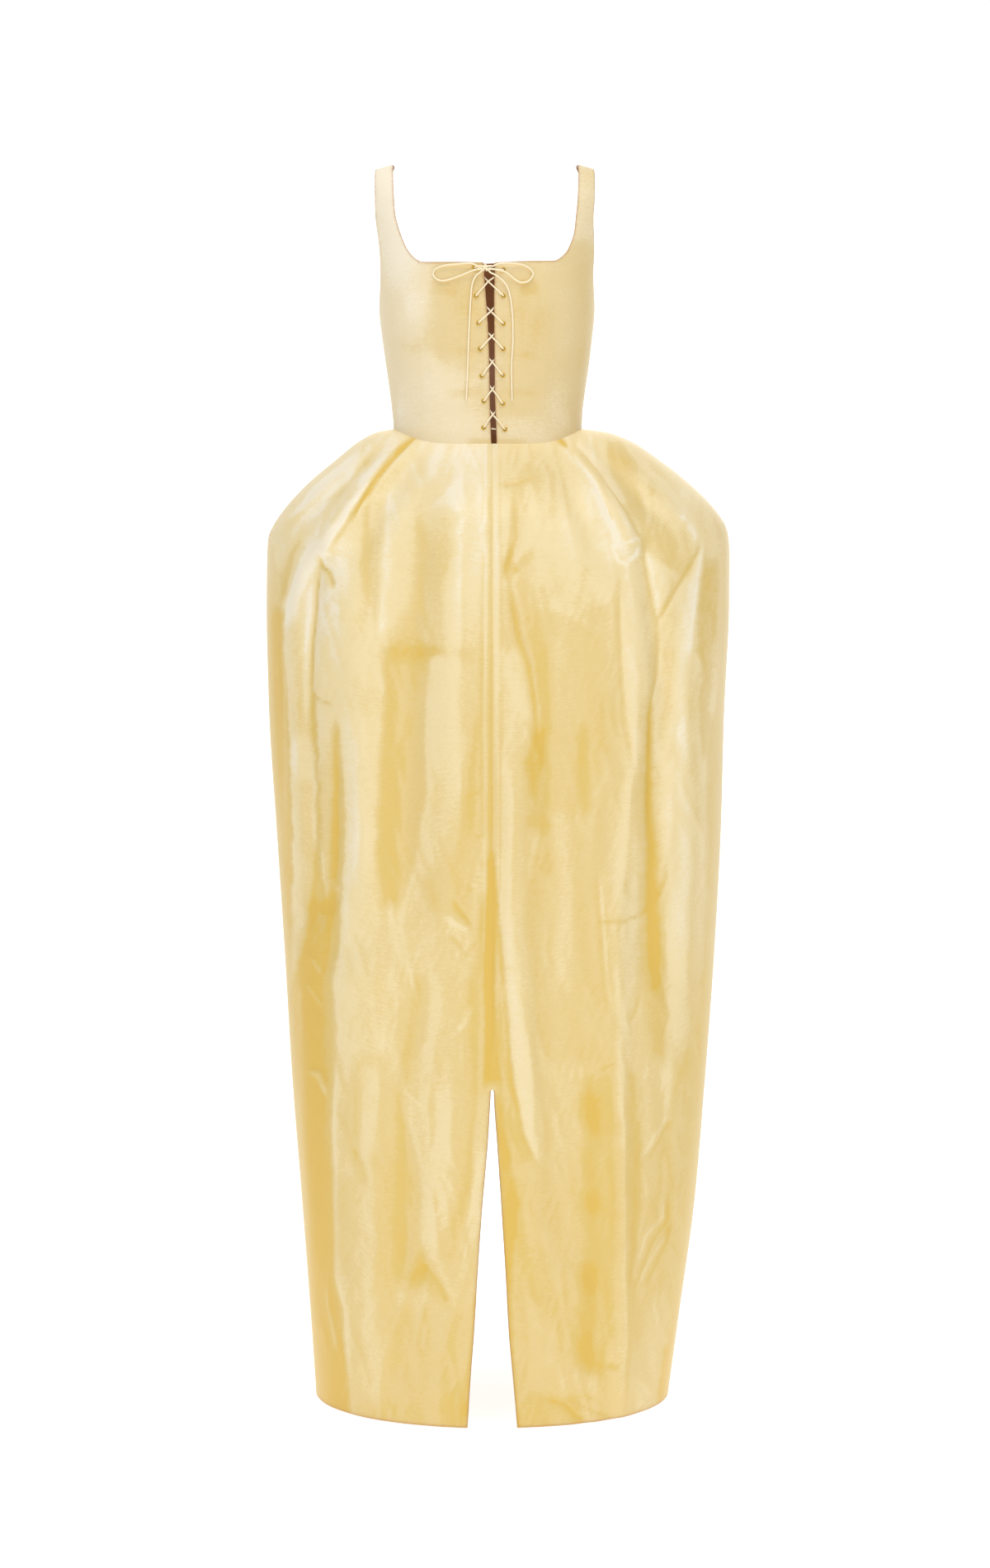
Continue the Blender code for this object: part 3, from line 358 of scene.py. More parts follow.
def newTree(name, *sockets):            # a Geometry Nodes tree with its named inputs
    tree = bpy.data.node_groups.new(name, "GeometryNodeTree")
    tree.is_modifier = True
    for label, kind in (("Geometry", "Geometry"), *sockets, ("Material", "Material")):
        tree.interface.new_socket(label, in_out="INPUT", socket_type="NodeSocket" + kind)
    tree.interface.new_socket("Geometry", in_out="OUTPUT", socket_type="NodeSocketGeometry")
    return tree, node(tree, "NodeGroupInput").outputs


def finishTree(tree, given, geometry):
    shade = node(tree, "GeometryNodeSetShadeSmooth", {0: geometry, "Shade Smooth": True})
    realize = node(tree, "GeometryNodeRealizeInstances", {0: shade})
    paint = node(tree, "GeometryNodeSetMaterial", {"Geometry": realize, "Material": given["Material"]})
    node(tree, "NodeGroupOutput", {"Geometry": paint})
    return tree


def storeAttribute(tree, name, kind, geometry, value):
    inputs = {"Geometry": geometry, "Name": name, "Value": value}
    return node(tree, "GeometryNodeStoreNamedAttribute", inputs, data_type=kind, domain="POINT")


def grow(name, source, tree, values):   # runs a tree on a source object and keeps the plain mesh
    modifier = source.modifiers.new("grow", "NODES")
    modifier.node_group = tree
    for item in tree.interface.items_tree:
        if item.in_out == "INPUT" and item.name in values:
            modifier[item.identifier] = values[item.name]
    scene.collection.objects.link(source)
    mesh = bpy.data.meshes.new_from_object(source.evaluated_get(bpy.context.evaluated_depsgraph_get()))
    source.modifiers.remove(modifier)
    bpy.data.objects.remove(source, do_unlink=True)
    mesh.name = name
    if not mesh.materials:
        mesh.materials.append(values["Material"])
    return newObject(name, mesh)


def newObject(name, data):
    made = bpy.data.objects.new(name, data)
    scene.collection.objects.link(made)
    return made


def addPiece(piece, nodes):
    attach(piece, "root")
    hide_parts(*nodes)


# Lace: one round woven cord, pale cream
lace = {
    "radius": 0.0010, "sides": 10, "step": 0.0009, "knotStep": 0.0008, "twist": 3.0, "twistLength": 0.0042,
    "pale": (254, 243, 213), "deep": (248, 231, 190), "roughness": 0.62, "sheen": 0.25,
    "bump": 0.00008, "bumpStrength": 0.6,
}


def laceMaterial():                     # plaited: two waves that wind round it in opposite ways
    material, tree, shader = newMaterial("laceCord")
    along = node(tree, "ShaderNodeAttribute", attribute_name="along").outputs["Fac"]
    turn = node(tree, "ShaderNodeAttribute", attribute_name="turn").outputs["Vector"]
    split = node(tree, "ShaderNodeSeparateXYZ", {0: turn}).outputs
    wound = mathNode(tree, "MULTIPLY", mathNode(tree, "ARCTAN2", split[1], split[0]), lace["twist"])
    run = mathNode(tree, "MULTIPLY", along, 2 * math.pi / lace["twistLength"])
    waves = [mathNode(tree, "SINE", mathNode(tree, way, run, wound)) for way in ("ADD", "SUBTRACT")]
    plait = node(tree, "ShaderNodeMapRange", {"Value": mathNode(tree, "MULTIPLY", *waves), "From Min": -1.0})
    # the colour is deeper where the plait's bump sinks: painted shade in its grooves
    fill(tree, shader, {
        "Base Color": mixColours(tree, plait, linear(lace["deep"]), linear(lace["pale"])),
        "Roughness": lace["roughness"], "Sheen Weight": lace["sheen"],
        "Normal": node(tree, "ShaderNodeBump", {
            "Height": plait, "Strength": lace["bumpStrength"], "Distance": lace["bump"],
        }),
    })
    return material


def laceTree():
    tree, given = newTree("laceSweep", ("Radius", "Float"), ("Step", "Float"), ("Sides", "Int"))
    inputs = {"Curve": given["Geometry"], "Length": given["Step"]}
    resample = node(tree, "GeometryNodeResampleCurve", inputs, mode="LENGTH")
    length = node(tree, "GeometryNodeSplineParameter").outputs["Length"]
    circle = node(tree, "GeometryNodeCurvePrimitiveCircle", {"Resolution": given["Sides"], "Radius": given["Radius"]})
    spoke = node(tree, "ShaderNodeVectorMath", {0: node(tree, "GeometryNodeInputPosition")}, operation="NORMALIZE")
    sweep = node(tree, "GeometryNodeCurveToMesh", {
        "Curve": storeAttribute(tree, "along", "FLOAT", resample, length),
        "Profile Curve": storeAttribute(tree, "turn", "FLOAT_VECTOR", circle, spoke), "Fill Caps": True,
    })
    return finishTree(tree, given, sweep)


laceLook, laceSweep = laceMaterial(), laceTree()


def makeCord(name, lines, nodes):
    curve = bpy.data.curves.new(name, "CURVE")
    curve.dimensions = "3D"
    for line in lines:
        spline = curve.splines.new("POLY")
        spline.points.add(len(line) - 1)
        spline.points.foreach_set("co", np.column_stack([line, np.ones(len(line))]).ravel())
    piece = grow(name, bpy.data.objects.new(name, curve), laceSweep, {
        "Radius": lace["radius"], "Step": lace["step"], "Sides": lace["sides"], "Material": laceLook,
    })
    addPiece(piece, nodes)
    return piece


# The lace's way, as in the frame: across, height and distance out from the bodice
freeRuns = {
    "bow_loop_left": (
        (-0.0168, -0.1414, 0.0053), (-0.0240, -0.1378, 0.0046), (-0.0400, -0.1378, 0.0030),
        (-0.0560, -0.1386, 0.0023), (-0.0660, -0.1420, 0.0021), (-0.0690, -0.1480, 0.0019),
        (-0.0650, -0.1540, 0.0017), (-0.0560, -0.1560, 0.0017), (-0.0430, -0.1530, 0.0020),
        (-0.0300, -0.1486, 0.0034), (-0.0220, -0.1458, 0.0048), (-0.0168, -0.1448, 0.0053),
    ),
    "bow_loop_right": (
        (0.0004, -0.1414, 0.0053), (0.0080, -0.1382, 0.0048), (0.0220, -0.1372, 0.0032),
        (0.0360, -0.1388, 0.0023), (0.0450, -0.1440, 0.0020), (0.0470, -0.1500, 0.0018),
        (0.0420, -0.1570, 0.0017), (0.0330, -0.1590, 0.0017), (0.0250, -0.1550, 0.0022),
        (0.0170, -0.1490, 0.0044), (0.0090, -0.1460, 0.0052), (0.0004, -0.1448, 0.0053),
    ),
    "lace_tail_left": (
        (-0.0142, -0.1485, 0.0052), (-0.0200, -0.1535, 0.0040), (-0.0238, -0.1640, 0.0027),
        (-0.0252, -0.1780, 0.0022), (-0.0266, -0.2000, 0.0017), (-0.0280, -0.2300, 0.0016),
        (-0.0292, -0.2650, 0.0016), (-0.0306, -0.2960, 0.0016),
    ),
    "lace_tail_right": (
        (-0.0022, -0.1487, 0.0052), (0.0060, -0.1530, 0.0044), (0.0155, -0.1620, 0.0034),
        (0.0205, -0.1760, 0.0026), (0.0232, -0.1980, 0.0018), (0.0238, -0.2260, 0.0016),
        (0.0222, -0.2560, 0.0016), (0.0228, -0.2960, 0.0016),
    ),
}
crossings = (
    (-0.0048, -0.1585), (-0.0019, -0.1930), (-0.0009, -0.2220),
    (-0.0002, -0.2515), (0.0000, -0.2830), (0.0003, -0.3125),
)
knot = {"place": (-0.0082, -0.1431, 0.0053), "halfSize": (0.0080, 0.0026, 0.0044)}
eyeletRise = ((0.0002, 0.0000, -0.0006), (-0.0006, 0.0005, 0.0018), (-0.0022, 0.0019, 0.0027))
eyeletDive = ((0.0022, -0.0019, -0.0039), (0.0005, -0.0005, -0.0031))
knotRise = ((0.0002, -0.0006), (-0.0006, 0.0018), (-0.0026, 0.0028))
knotReach = ((0.0040, 0.0017), (0.0000, 0.0015))
barSteps = ((0.0004, -0.0030), (0.0024, -0.0040))
crossingSteps = {
    left: (
        ("nearEyelet", -0.0048, 0.0023), ("nearEdge", 0.0012, 0.0017), ("meeting", 0.0000, 0.0012),
        ("farEdge", 0.0016, -0.0003), ("farEdge", 0.0016, -0.0012), ("farEdge", 0.0006, -0.0030),
        ("farEdge", -0.0008, -0.0036), ("farEdge", -0.0024, -0.0036), ("farEyelet", 0.0050, -0.0036),
    ),
    right: (
        ("nearEyelet", -0.0048, 0.0023), ("nearEdge", 0.0012, 0.0017), ("nearEdge", 0.0000, 0.0015),
        ("nearEdge", -0.0010, 0.0011), ("meeting", 0.0000, -0.0012), ("farEdge", 0.0016, -0.0015),
        ("farEdge", 0.0006, -0.0030), ("farEdge", -0.0008, -0.0036), ("farEdge", -0.0024, -0.0036),
        ("farEyelet", 0.0050, -0.0036),
    ),
}


def eyeletPlace(pair, side):
    return eyeletPlaces[pair][:2] if side == left else eyeletPlaces[pair][2:]


def crossing(pair, side):
    across, height = eyeletPlace(pair, side)
    farAcross, farHeight = eyeletPlace(pair - 1, -side)
    meetAcross, meetHeight = crossings[pair - 1]

    def heightAt(place):
        low, lowHeight, high, highHeight = across, height, meetAcross, meetHeight
        if (place - meetAcross) * side < 0:
            low, lowHeight, high, highHeight = meetAcross, meetHeight, farAcross, farHeight
        return lowHeight + (place - low) / (high - low) * (highHeight - lowHeight)

    def edge(column):
        place = meetAcross
        for _ in range(4):
            place = float(gapAt(column, heightAt(place)))
        return place

    anchors = {
        "nearEyelet": across, "nearEdge": edge(sideWord(side)), "meeting": meetAcross,
        "farEdge": edge(sideWord(-side)), "farEyelet": farAcross,
    }
    route = [(across + side * step, height + rise, out) for step, rise, out in eyeletRise]
    for anchor, step, out in crossingSteps[side]:
        place = anchors[anchor] + side * step
        route.append((place, heightAt(place), out))
    return route + [(farAcross + side * step, farHeight + rise, out) for step, rise, out in eyeletDive]


def lacingRoute():
    last = len(eyeletPlaces) - 1
    strands = []
    for side in (left, right):
        route = []
        for pair in range(last, 0, -1):
            route += crossing(pair, side)
            side = -side
        across, height = eyeletPlace(0, side)
        knotEnd = knot["place"][0] + side * knot["halfSize"][0] / 2
        route += [(across + side * step, height, out) for step, out in knotRise]
        for (step, out), level in zip(knotReach, ((height + knot["place"][1]) / 2, knot["place"][1])):
            route.append((knotEnd + side * step, level, out))
        strands.append(route)
    bar = []
    for side, steps in ((left, barSteps), (right, barSteps[::-1])):
        across, height = eyeletPlace(last, side)
        bar += [(across - side * step, height, out) for step, out in steps]
    return strands[0][::-1] + bar + strands[1]


def makeLace():
    for name, keys in freeRuns.items():
        line = through([backPoint(*key) for key in keys], lace["step"])
        piece = makeCord(name + "_cord", [line], [name])
        print("cord", name, round(lengthOf(line), 4))
    line = through([backPoint(*key) for key in lacingRoute()], lace["step"])
    makeCord("lacing_cord", [line], ["lacing"])
    print("lacing", round(lengthOf(line), 4))


makeLace()

# The bow's knot, a flat half knot: two wraps round the middle and the strands across them,
# as steps to the right, up and out from its middle
wraps = {"shiftAndLean": ((-0.0013, 0.0006), (0.0011, -0.0004)), "tall": 0.0032, "deep": 0.0019, "turns": 24}
knotStrands = (
    ((-0.0086, 0.0017, 0), (-0.005, 0.002, 0.0006), (0, 0.0008, 0.0002), (0.005, 0.0019, 0.0004),
     (0.0086, 0.0017, 0)),
    ((-0.0086, -0.0017, 0), (-0.005, -0.0015, 0.0004), (0, -0.0012, -0.0002), (0.005, -0.0016, 0.0005),
     (0.0086, -0.0017, 0)),
    ((-0.006, -0.0054, -0.0001), (-0.0036, -0.003, 0.0005), (0.0004, 0.0006, 0.0012), (0.003, 0.0021, 0.0004)),
    ((0.006, -0.0056, -0.0001), (0.0036, -0.003, 0.0006), (-0.0003, 0.0004, 0.0014), (-0.003, 0.0018, 0.0004)),
)


def makeKnot():
    across, height, out = knot["place"]
    centre = backPoint(across, height, out)
    outwards = (backPoint(across, height, out + 0.01) - centre).normalized()
    sideways = Vector((0, 0, 1)).cross(outwards).normalized()
    upwards = outwards.cross(sideways)

    def at(wide, tall, deep):
        return centre + sideways * wide + upwards * tall + outwards * deep

    lines = []
    for shift, lean in wraps["shiftAndLean"]:
        turns = [2 * math.pi * number / wraps["turns"] for number in range(wraps["turns"] + 1)]
        lines.append(np.array([
            at(shift + lean * math.cos(turn), wraps["tall"] * math.cos(turn), wraps["deep"] * math.sin(turn))
            for turn in turns
        ]))
    lines += [through([at(*step) for step in strand], lace["knotStep"]) for strand in knotStrands]
    makeCord("bow_knot_wraps", lines, ["bow_knot"])


makeKnot()
print("bow made")

# Silk: crisp taffeta with slubs in its weft, with painted highlights on its ridges and painted shade in its hollows
bodiceSilk = {
    "name": "bodiceSilk", "roughness": 0.48, "specular": 0.30, "sheen": 0.04, "mottle": 0.45, "mottleScale": 14.0,
    "tones": ((0.0, (250, 239, 214)), (0.35, (240, 223, 185)), (0.60, (230, 207, 154)), (1.0, (222, 190, 117))),
    # the bodice's inside is deep brown: painted shade for the dark gap between the laced edges
    "inside": (150, 98, 58),
}
skirtSilk = {
    "name": "skirtSilk", "roughness": 0.36, "specular": 0.22, "sheen": 0.0, "mottle": 0.22, "mottleScale": 7.0,
    "tones": (
        (0.0, (246, 235, 209)), (0.30, (239, 219, 169)), (0.55, (230, 204, 141)), (0.80, (226, 196, 117)),
        (1.0, (226, 189, 94)),
    ),
    "inside": (222, 190, 122),
}
weave = {
    "slubs": (26.0, 1500.0, 1.0), "slubDetail": 2.0, "slubColour": 0.24, "slubBump": 0.00010, "slubStrength": 0.35,
    "grain": (170.0, 330.0, 1.0), "grainColour": 0.40, "grainRoughness": 0.75, "grainDistortion": 0.8,
    "crumple": 60.0, "crumpleDistortion": 1.2, "crumpleBump": 0.00075, "crumpleStrength": 0.5, "detail": 4.0,
    # the edge colour is a painted shade along the unsewn edges
    "edgeColour": (176, 118, 70), "edgeStrength": 0.55, "sheenRoughness": 0.4,
}


def silkMaterial(look):
    material, tree, shader = newMaterial(look["name"])
    tone, rim, inner = (
        node(tree, "ShaderNodeAttribute", attribute_name=name).outputs["Fac"] for name in ("tone", "rim", "inside")
    )
    cloth = node(tree, "ShaderNodeUVMap", uv_map="weave")
    body = node(tree, "ShaderNodeTexCoord").outputs["Object"]

    def noise(vector, **inputs):
        return node(tree, "ShaderNodeTexNoise", {"Vector": vector, **inputs}).outputs["Fac"]

    def stretched(scale):
        return node(tree, "ShaderNodeMapping", {"Vector": cloth, "Scale": scale})

    slubs = noise(stretched(weave["slubs"]), Scale=1.0, Detail=weave["slubDetail"])
    mottle = noise(body, Scale=look["mottleScale"], Detail=weave["detail"])
    crumples = noise(body, Scale=weave["crumple"], Detail=weave["detail"], Distortion=weave["crumpleDistortion"])
    grain = noise(
        stretched(weave["grain"]), Scale=1.0, Detail=weave["detail"], Roughness=weave["grainRoughness"],
        Distortion=weave["grainDistortion"],
    )
    # the tone attribute brings the painted shade and highlight; slubs, grain and mottle add tone that differs at
    # random
    for source, strength in ((slubs, weave["slubColour"]), (grain, weave["grainColour"]), (mottle, look["mottle"])):
        shift = mathNode(tree, "MULTIPLY", mathNode(tree, "SUBTRACT", source, 0.5), strength)
        tone = mathNode(tree, "ADD", tone, shift)
    ramp = node(tree, "ShaderNodeValToRGB", {0: tone})
    ramp.color_ramp.interpolation = "EASE"
    stops = ramp.color_ramp.elements
    while len(stops) < len(look["tones"]):
        stops.new(0.5)
    for stop, (place, colour) in zip(stops, look["tones"]):
        stop.position = place
        stop.color = linear(colour)
    # the inner sheet takes the inside colour, on the bodice a painted shade
    colour = mixColours(tree, inner, ramp.outputs["Color"], linear(look["inside"]))
    # the rim attribute lays a painted shade along the unsewn edges
    rimShare = mathNode(tree, "MULTIPLY", rim, weave["edgeStrength"])
    creases = node(tree, "ShaderNodeBump", {
        "Height": crumples, "Strength": weave["crumpleStrength"], "Distance": weave["crumpleBump"],
    })
    threads = node(tree, "ShaderNodeBump", {
        "Height": slubs, "Strength": weave["slubStrength"], "Distance": weave["slubBump"], "Normal": creases,
    })
    fill(tree, shader, {
        "Base Color": mixColours(tree, rimShare, colour, linear(weave["edgeColour"])), "Roughness": look["roughness"],
        "Specular IOR Level": look["specular"], "Sheen Weight": look["sheen"],
        "Sheen Roughness": weave["sheenRoughness"], "Normal": threads,
    })
    return material


# Marks in the cloth as they are seen from the camera, in pixels of the 1200 x 1900 view: kind, width, depth at
# each end in millimetres, how much deeper the colour is (painted shade where positive, a painted highlight where
# negative), and the points of the path, each across and down.
# A soft mark is a rounded ridge or trough, a sharp one is pressed in, and a step lifts the cloth on its right.
skirtMarks = (
    # pleat and bulb at the left hip
    ("soft", 6, 0.8, 2.6, -0.22, 492, 536, 462, 566, 424, 622, 400, 668),
    ("soft", 3.4, -1.0, -2.2, 0.52, 503, 530, 484, 545, 458, 578, 432, 616),
    ("sharp", 2.2, -1.0, -1.0, 1.00, 508, 527, 495, 537, 482, 548),
    ("sharp", 2.0, -1.4, -1.4, 0.70, 494, 538, 470, 563, 452, 586, 436, 610, 424, 632),
    ("soft", 4, -0.8, -1.6, 0.22, 440, 600, 418, 638, 402, 664),
    ("soft", 2.5, 0.6, 1.0, -0.25, 455, 572, 414, 634, 393, 668, 396, 680, 406, 684),
    ("soft", 12, 2.5, 3.0, 0.0, 404, 664, 401, 674),
    ("sharp", 2.4, -1.6, -2.2, 0.75, 388, 674, 391, 686, 400, 694, 406, 712),
    ("sharp", 2.2, -1.8, -1.5, 0.55, 388, 688, 383, 745, 379, 800, 378, 845),
    ("soft", 3, 0.8, 0.8, -0.22, 382, 700, 375, 780, 372, 890),
    ("sharp", 2.2, -1.4, -0.5, 0.30, 379, 838, 385, 846, 406, 855),
    ("sharp", 3, 0.5, 0.2, 0.08, 398, 725, 418, 735),
    ("sharp", 3, 0.5, 0.2, 0.08, 400, 745, 420, 752),
    ("sharp", 3, 0.5, 0.2, 0.10, 401, 762, 413, 800, 424, 832),
    ("soft", 8, 1.6, 2.2, -0.30, 442, 552, 402, 584, 372, 612, 352, 634),
    ("soft", 5, -0.8, -1.2, 0.16, 452, 548, 415, 580, 388, 608, 352, 642),
    ("soft", 4, 0.8, 1.0, -0.22, 466, 556, 432, 584, 408, 612, 398, 640),
    ("soft", 7, -0.8, -1.2, 0.16, 430, 572, 410, 600, 398, 640),
    ("soft", 5, -0.6, -0.6, 0.18, 380, 601, 346, 622),
    ("soft", 6, -1.2, -1.4, 0.24, 374, 645, 357, 672, 349, 700, 343, 736),
    ("soft", 8, 1.6, 1.4, -0.28, 396, 652, 370, 690, 355, 726, 350, 770),
    ("step", 3, 2.0, 1.6, 0.0, 344, 735, 344, 850, 347, 1000),
    ("soft", 13, 2.2, 2.0, 0.0, 361, 740, 362, 1000, 372, 1120),
    ("soft", 14, -3.0, -2.6, 0.0, 448, 600, 446, 770),
    ("soft", 27, -3.0, -3.5, 0.0, 512, 570, 511, 780),
    ("soft", 25, -3.5, -3.0, 0.0, 484, 800, 483, 1080),
    ("sharp", 4, 0.8, 0.4, 0.12, 457, 788, 500, 785, 545, 792),
    ("soft", 19, 2.8, 2.8, 0.0, 437, 800, 437, 1090, 432, 1290),
    ("soft", 19, 2.5, 2.8, 0.0, 560, 570, 561, 900, 556, 1060),
    # centre seam
    ("sharp", 1.6, -0.9, -0.9, 0.18, 597, 534, 597, 900, 597, 1320),
    ("soft", 2.5, 0.8, 0.8, -0.12, 590.5, 536, 590, 900, 589, 1300),
    ("soft", 2.5, 0.8, 0.8, -0.12, 603.5, 536, 604, 900, 605, 1300),
    ("sharp", 1.6, -0.4, -0.4, 0.20, 594, 590, 586, 700, 584, 900, 584, 1000),
    ("sharp", 1.8, -0.8, -0.6, 0.20, 566, 966, 576, 962, 584, 958),
    ("sharp", 1.8, -0.8, -0.6, 0.20, 578, 1018, 590, 1008),
    # pleat and bulb at the right hip
    ("soft", 5, 0.8, 2.6, -0.22, 676, 531, 717, 577, 748, 640, 760, 668),
    ("soft", 4, -0.4, -0.8, 0.30, 672, 527, 686, 540),
    ("sharp", 2.0, -0.8, -0.8, 0.85, 670, 526, 678, 531, 688, 542),
    ("sharp", 1.8, -0.6, -0.8, 0.22, 686, 540, 716, 584, 740, 622, 754, 656),
    ("sharp", 2.4, -1.2, -1.8, 0.48, 703, 545, 738, 588, 762, 622, 776, 652),
    ("sharp", 2.4, -1.2, -1.8, 0.24, 780, 664, 786, 700, 797, 755),
    ("soft", 12, 3.0, 3.2, 0.0, 761, 656, 763, 664),
    ("soft", 2.5, 0.6, 0.9, -0.10, 744, 660, 750, 678, 762, 684, 773, 672, 775, 656),
    ("soft", 12, 2.5, 2.8, 0.0, 760, 560, 800, 605, 845, 645),
    ("sharp", 3, -2.0, -1.2, 0.34, 797, 755, 812, 728, 838, 686, 853, 657),
    ("sharp", 3, 1.4, 0.8, -0.12, 853, 655, 844, 725, 835, 800),
    ("sharp", 2.6, -1.5, -1.2, 0.36, 797, 755, 796, 815, 788, 855, 787, 1000),
    ("sharp", 2.5, -1.0, -1.0, 0.20, 866, 622, 878, 655, 876, 760),
    # dents and the long light oval right of the centre seam
    ("sharp", 2.6, -1.5, -0.6, 0.34, 611, 588, 628, 586, 648, 580),
    ("soft", 5, -1.6, -2.6, 0.0, 626, 608, 626, 650, 616, 692),
    ("soft", 3.4, -2.0, -1.4, 0.42, 619, 700, 624, 740, 630, 774, 641, 806, 648, 850, 653, 900),
    ("soft", 30, 3.0, 3.0, 0.0, 700, 620, 697, 720),
    ("soft", 14, -2.4, -2.0, 0.0, 660, 740, 668, 900, 672, 1050),
    ("sharp", 2.0, -1.1, -1.0, 0.24, 750, 720, 753, 800, 757, 870, 768, 934),
    ("soft", 12, 2.0, 2.0, 0.0, 770, 740, 772, 900, 764, 1000),
    # middle and lower right
    ("soft", 13, 2.6, 2.8, 0.0, 619, 880, 619, 1100, 638, 1270, 650, 1380),
    ("sharp", 2.0, -1.3, -1.1, 0.28, 603, 1090, 612, 1200, 621, 1310, 636, 1380, 654, 1414),
    ("soft", 2.5, 0.5, 0.5, -0.16, 606, 1150, 612, 1220, 617, 1290),
    ("soft", 6, 1.2, 1.2, 0.0, 765, 930, 753, 1105),
    ("sharp", 1.8, -0.8, -0.8, 0.36, 727, 1117, 755, 1117, 780, 1107, 800, 1086, 809, 1058),
    ("sharp", 2.0, -1.1, -0.9, 0.20, 724, 1060, 729, 1130, 734, 1200, 738, 1225),
    ("soft", 2, 0.4, 0.4, -0.14, 728, 1060, 733, 1130, 738, 1200),
    ("step", 2.6, 2.2, 2.2, 0.0, 747, 1285, 750, 1400, 754, 1520, 757, 1660),
    ("soft", 18, -1.6, -1.8, 0.0, 728, 1300, 726, 1500, 724, 1700),
    ("soft", 5, 1.5, 1.5, 0.0, 756, 1300, 756, 1500, 757, 1690),
    ("soft", 20, 2.4, 2.2, 0.0, 695, 960, 697, 1120, 690, 1260),
    ("sharp", 2.4, -0.9, -0.4, 0.22, 763, 1238, 770, 1228, 776, 1205),
    ("sharp", 2.4, -0.9, -0.4, 0.18, 805, 1258, 812, 1230, 800, 1180),
    ("sharp", 2.2, 0.8, 0.4, -0.22, 812, 1352, 794, 1376, 782, 1400),
    ("sharp", 2.2, -1.0, -0.5, 0.22, 818, 1356, 800, 1380, 786, 1406),
    ("sharp", 2.2, 0.9, 0.5, -0.24, 806, 1455, 804, 1476, 784, 1498, 774, 1530),
    ("sharp", 2.2, -0.9, -0.5, 0.24, 811, 1448, 812, 1478, 792, 1505, 778, 1540, 768, 1566),
    ("sharp", 2.2, 0.8, 0.4, -0.22, 812, 1496, 802, 1508, 788, 1528, 774, 1556),
    ("sharp", 2.2, -0.8, -0.4, 0.20, 817, 1480, 808, 1508, 798, 1530, 784, 1556),
    ("sharp", 3, -1.2, -0.8, 0.30, 664, 1696, 684, 1700, 700, 1716, 712, 1722),
    ("sharp", 3, -0.8, -0.6, 0.22, 686, 1696, 712, 1692, 728, 1696),
    ("sharp", 3, -0.8, -0.6, 0.22, 700, 1700, 726, 1712, 744, 1717),
    ("soft", 4, -0.9, -0.6, 0.34, 738, 1654, 752, 1660),
    ("sharp", 2.4, -0.9, -0.5, 0.26, 729, 1296, 746, 1290),
    ("sharp", 3, -0.8, -0.3, 0.12, 803, 1210, 817, 1190),
    ("sharp", 2, -0.8, -0.4, 0.24, 610, 1171, 628, 1176),
    ("soft", 12, -1.6, -1.6, 0.0, 812, 1060, 806, 1300, 800, 1560),
    ("soft", 13, 1.8, 1.8, 0.0, 832, 780, 836, 1000, 826, 1300),
    ("soft", 16, -1.6, -1.8, 0.0, 632, 1450, 640, 1600, 646, 1720),
    # middle and lower left
    ("soft", 8, 2.2, 1.4, 0.0, 386, 905, 390, 1000, 393, 1092),
    ("soft", 7, -2.0, -2.0, 0.0, 408, 890, 409, 1000, 404, 1150),
    ("step", 2.6, 2.2, 2.2, 0.0, 403, 1110, 404, 1330, 406, 1545, 418, 1592, 424, 1712),
    ("soft", 13, -1.8, -1.8, 0.0, 390, 1120, 389, 1400, 392, 1560, 406, 1690),
    ("soft", 4, 1.2, 0.6, -0.45, 372, 1294, 384, 1302, 396, 1330),
    ("soft", 3, 0.8, 0.6, -0.26, 372, 1190, 385, 1214, 391, 1222),
    ("soft", 3, 0.6, 0.6, -0.22, 378, 1160, 390, 1180),
    ("soft", 3.5, 0.6, 0.6, -0.30, 395, 1536, 397, 1580, 406, 1624, 414, 1650),
    ("soft", 3, 0.6, 0.6, -0.20, 389, 1602, 396, 1640),
    ("soft", 10, 1.6, 1.4, 0.0, 366, 1130, 372, 1400, 384, 1650),
    ("soft", 4, -0.9, -0.4, -0.16, 340, 815, 346, 850),
    ("soft", 3, 0.6, 0.4, -0.24, 398, 1062, 412, 1082),
    ("soft", 13, -2.8, -2.8, 0.0, 488, 1325, 492, 1450, 490, 1560),
    ("soft", 16, -1.4, -1.6, 0.0, 508, 1200, 500, 1290),
    ("sharp", 3, -1.1, -0.8, 0.16, 430, 1390, 440, 1410, 446, 1436),
    ("sharp", 4, -1.5, -0.8, 0.26, 512, 1530, 532, 1552, 545, 1578),
    ("sharp", 3, -0.9, -1.6, 0.40, 550, 1092, 562, 1108, 572, 1121),
    ("soft", 4, 0.8, 0.8, -0.20, 540, 1108, 556, 1120, 574, 1126),
    ("sharp", 2.6, -0.7, -1.3, 0.26, 548, 1134, 562, 1149),
    ("sharp", 2.4, -0.5, -1.0, 0.20, 567, 1070, 574, 1082),
    ("sharp", 2.4, -0.8, -0.3, 0.14, 565, 1160, 580, 1140),
    ("soft", 4, -0.8, -0.3, -0.18, 548, 1250, 560, 1240, 575, 1215),
    ("soft", 16, 2.0, 2.0, 0.0, 548, 1240, 545, 1400, 536, 1690),
    ("soft", 8, -1.2, -1.4, 0.0, 580, 1200, 576, 1330, 566, 1500),
    ("soft", 14, 2.0, 1.8, 0.0, 452, 1300, 455, 1500, 462, 1700),
    ("sharp", 2.4, 0.5, 0.5, -0.12, 490, 1318, 500, 1330, 514, 1340),
)
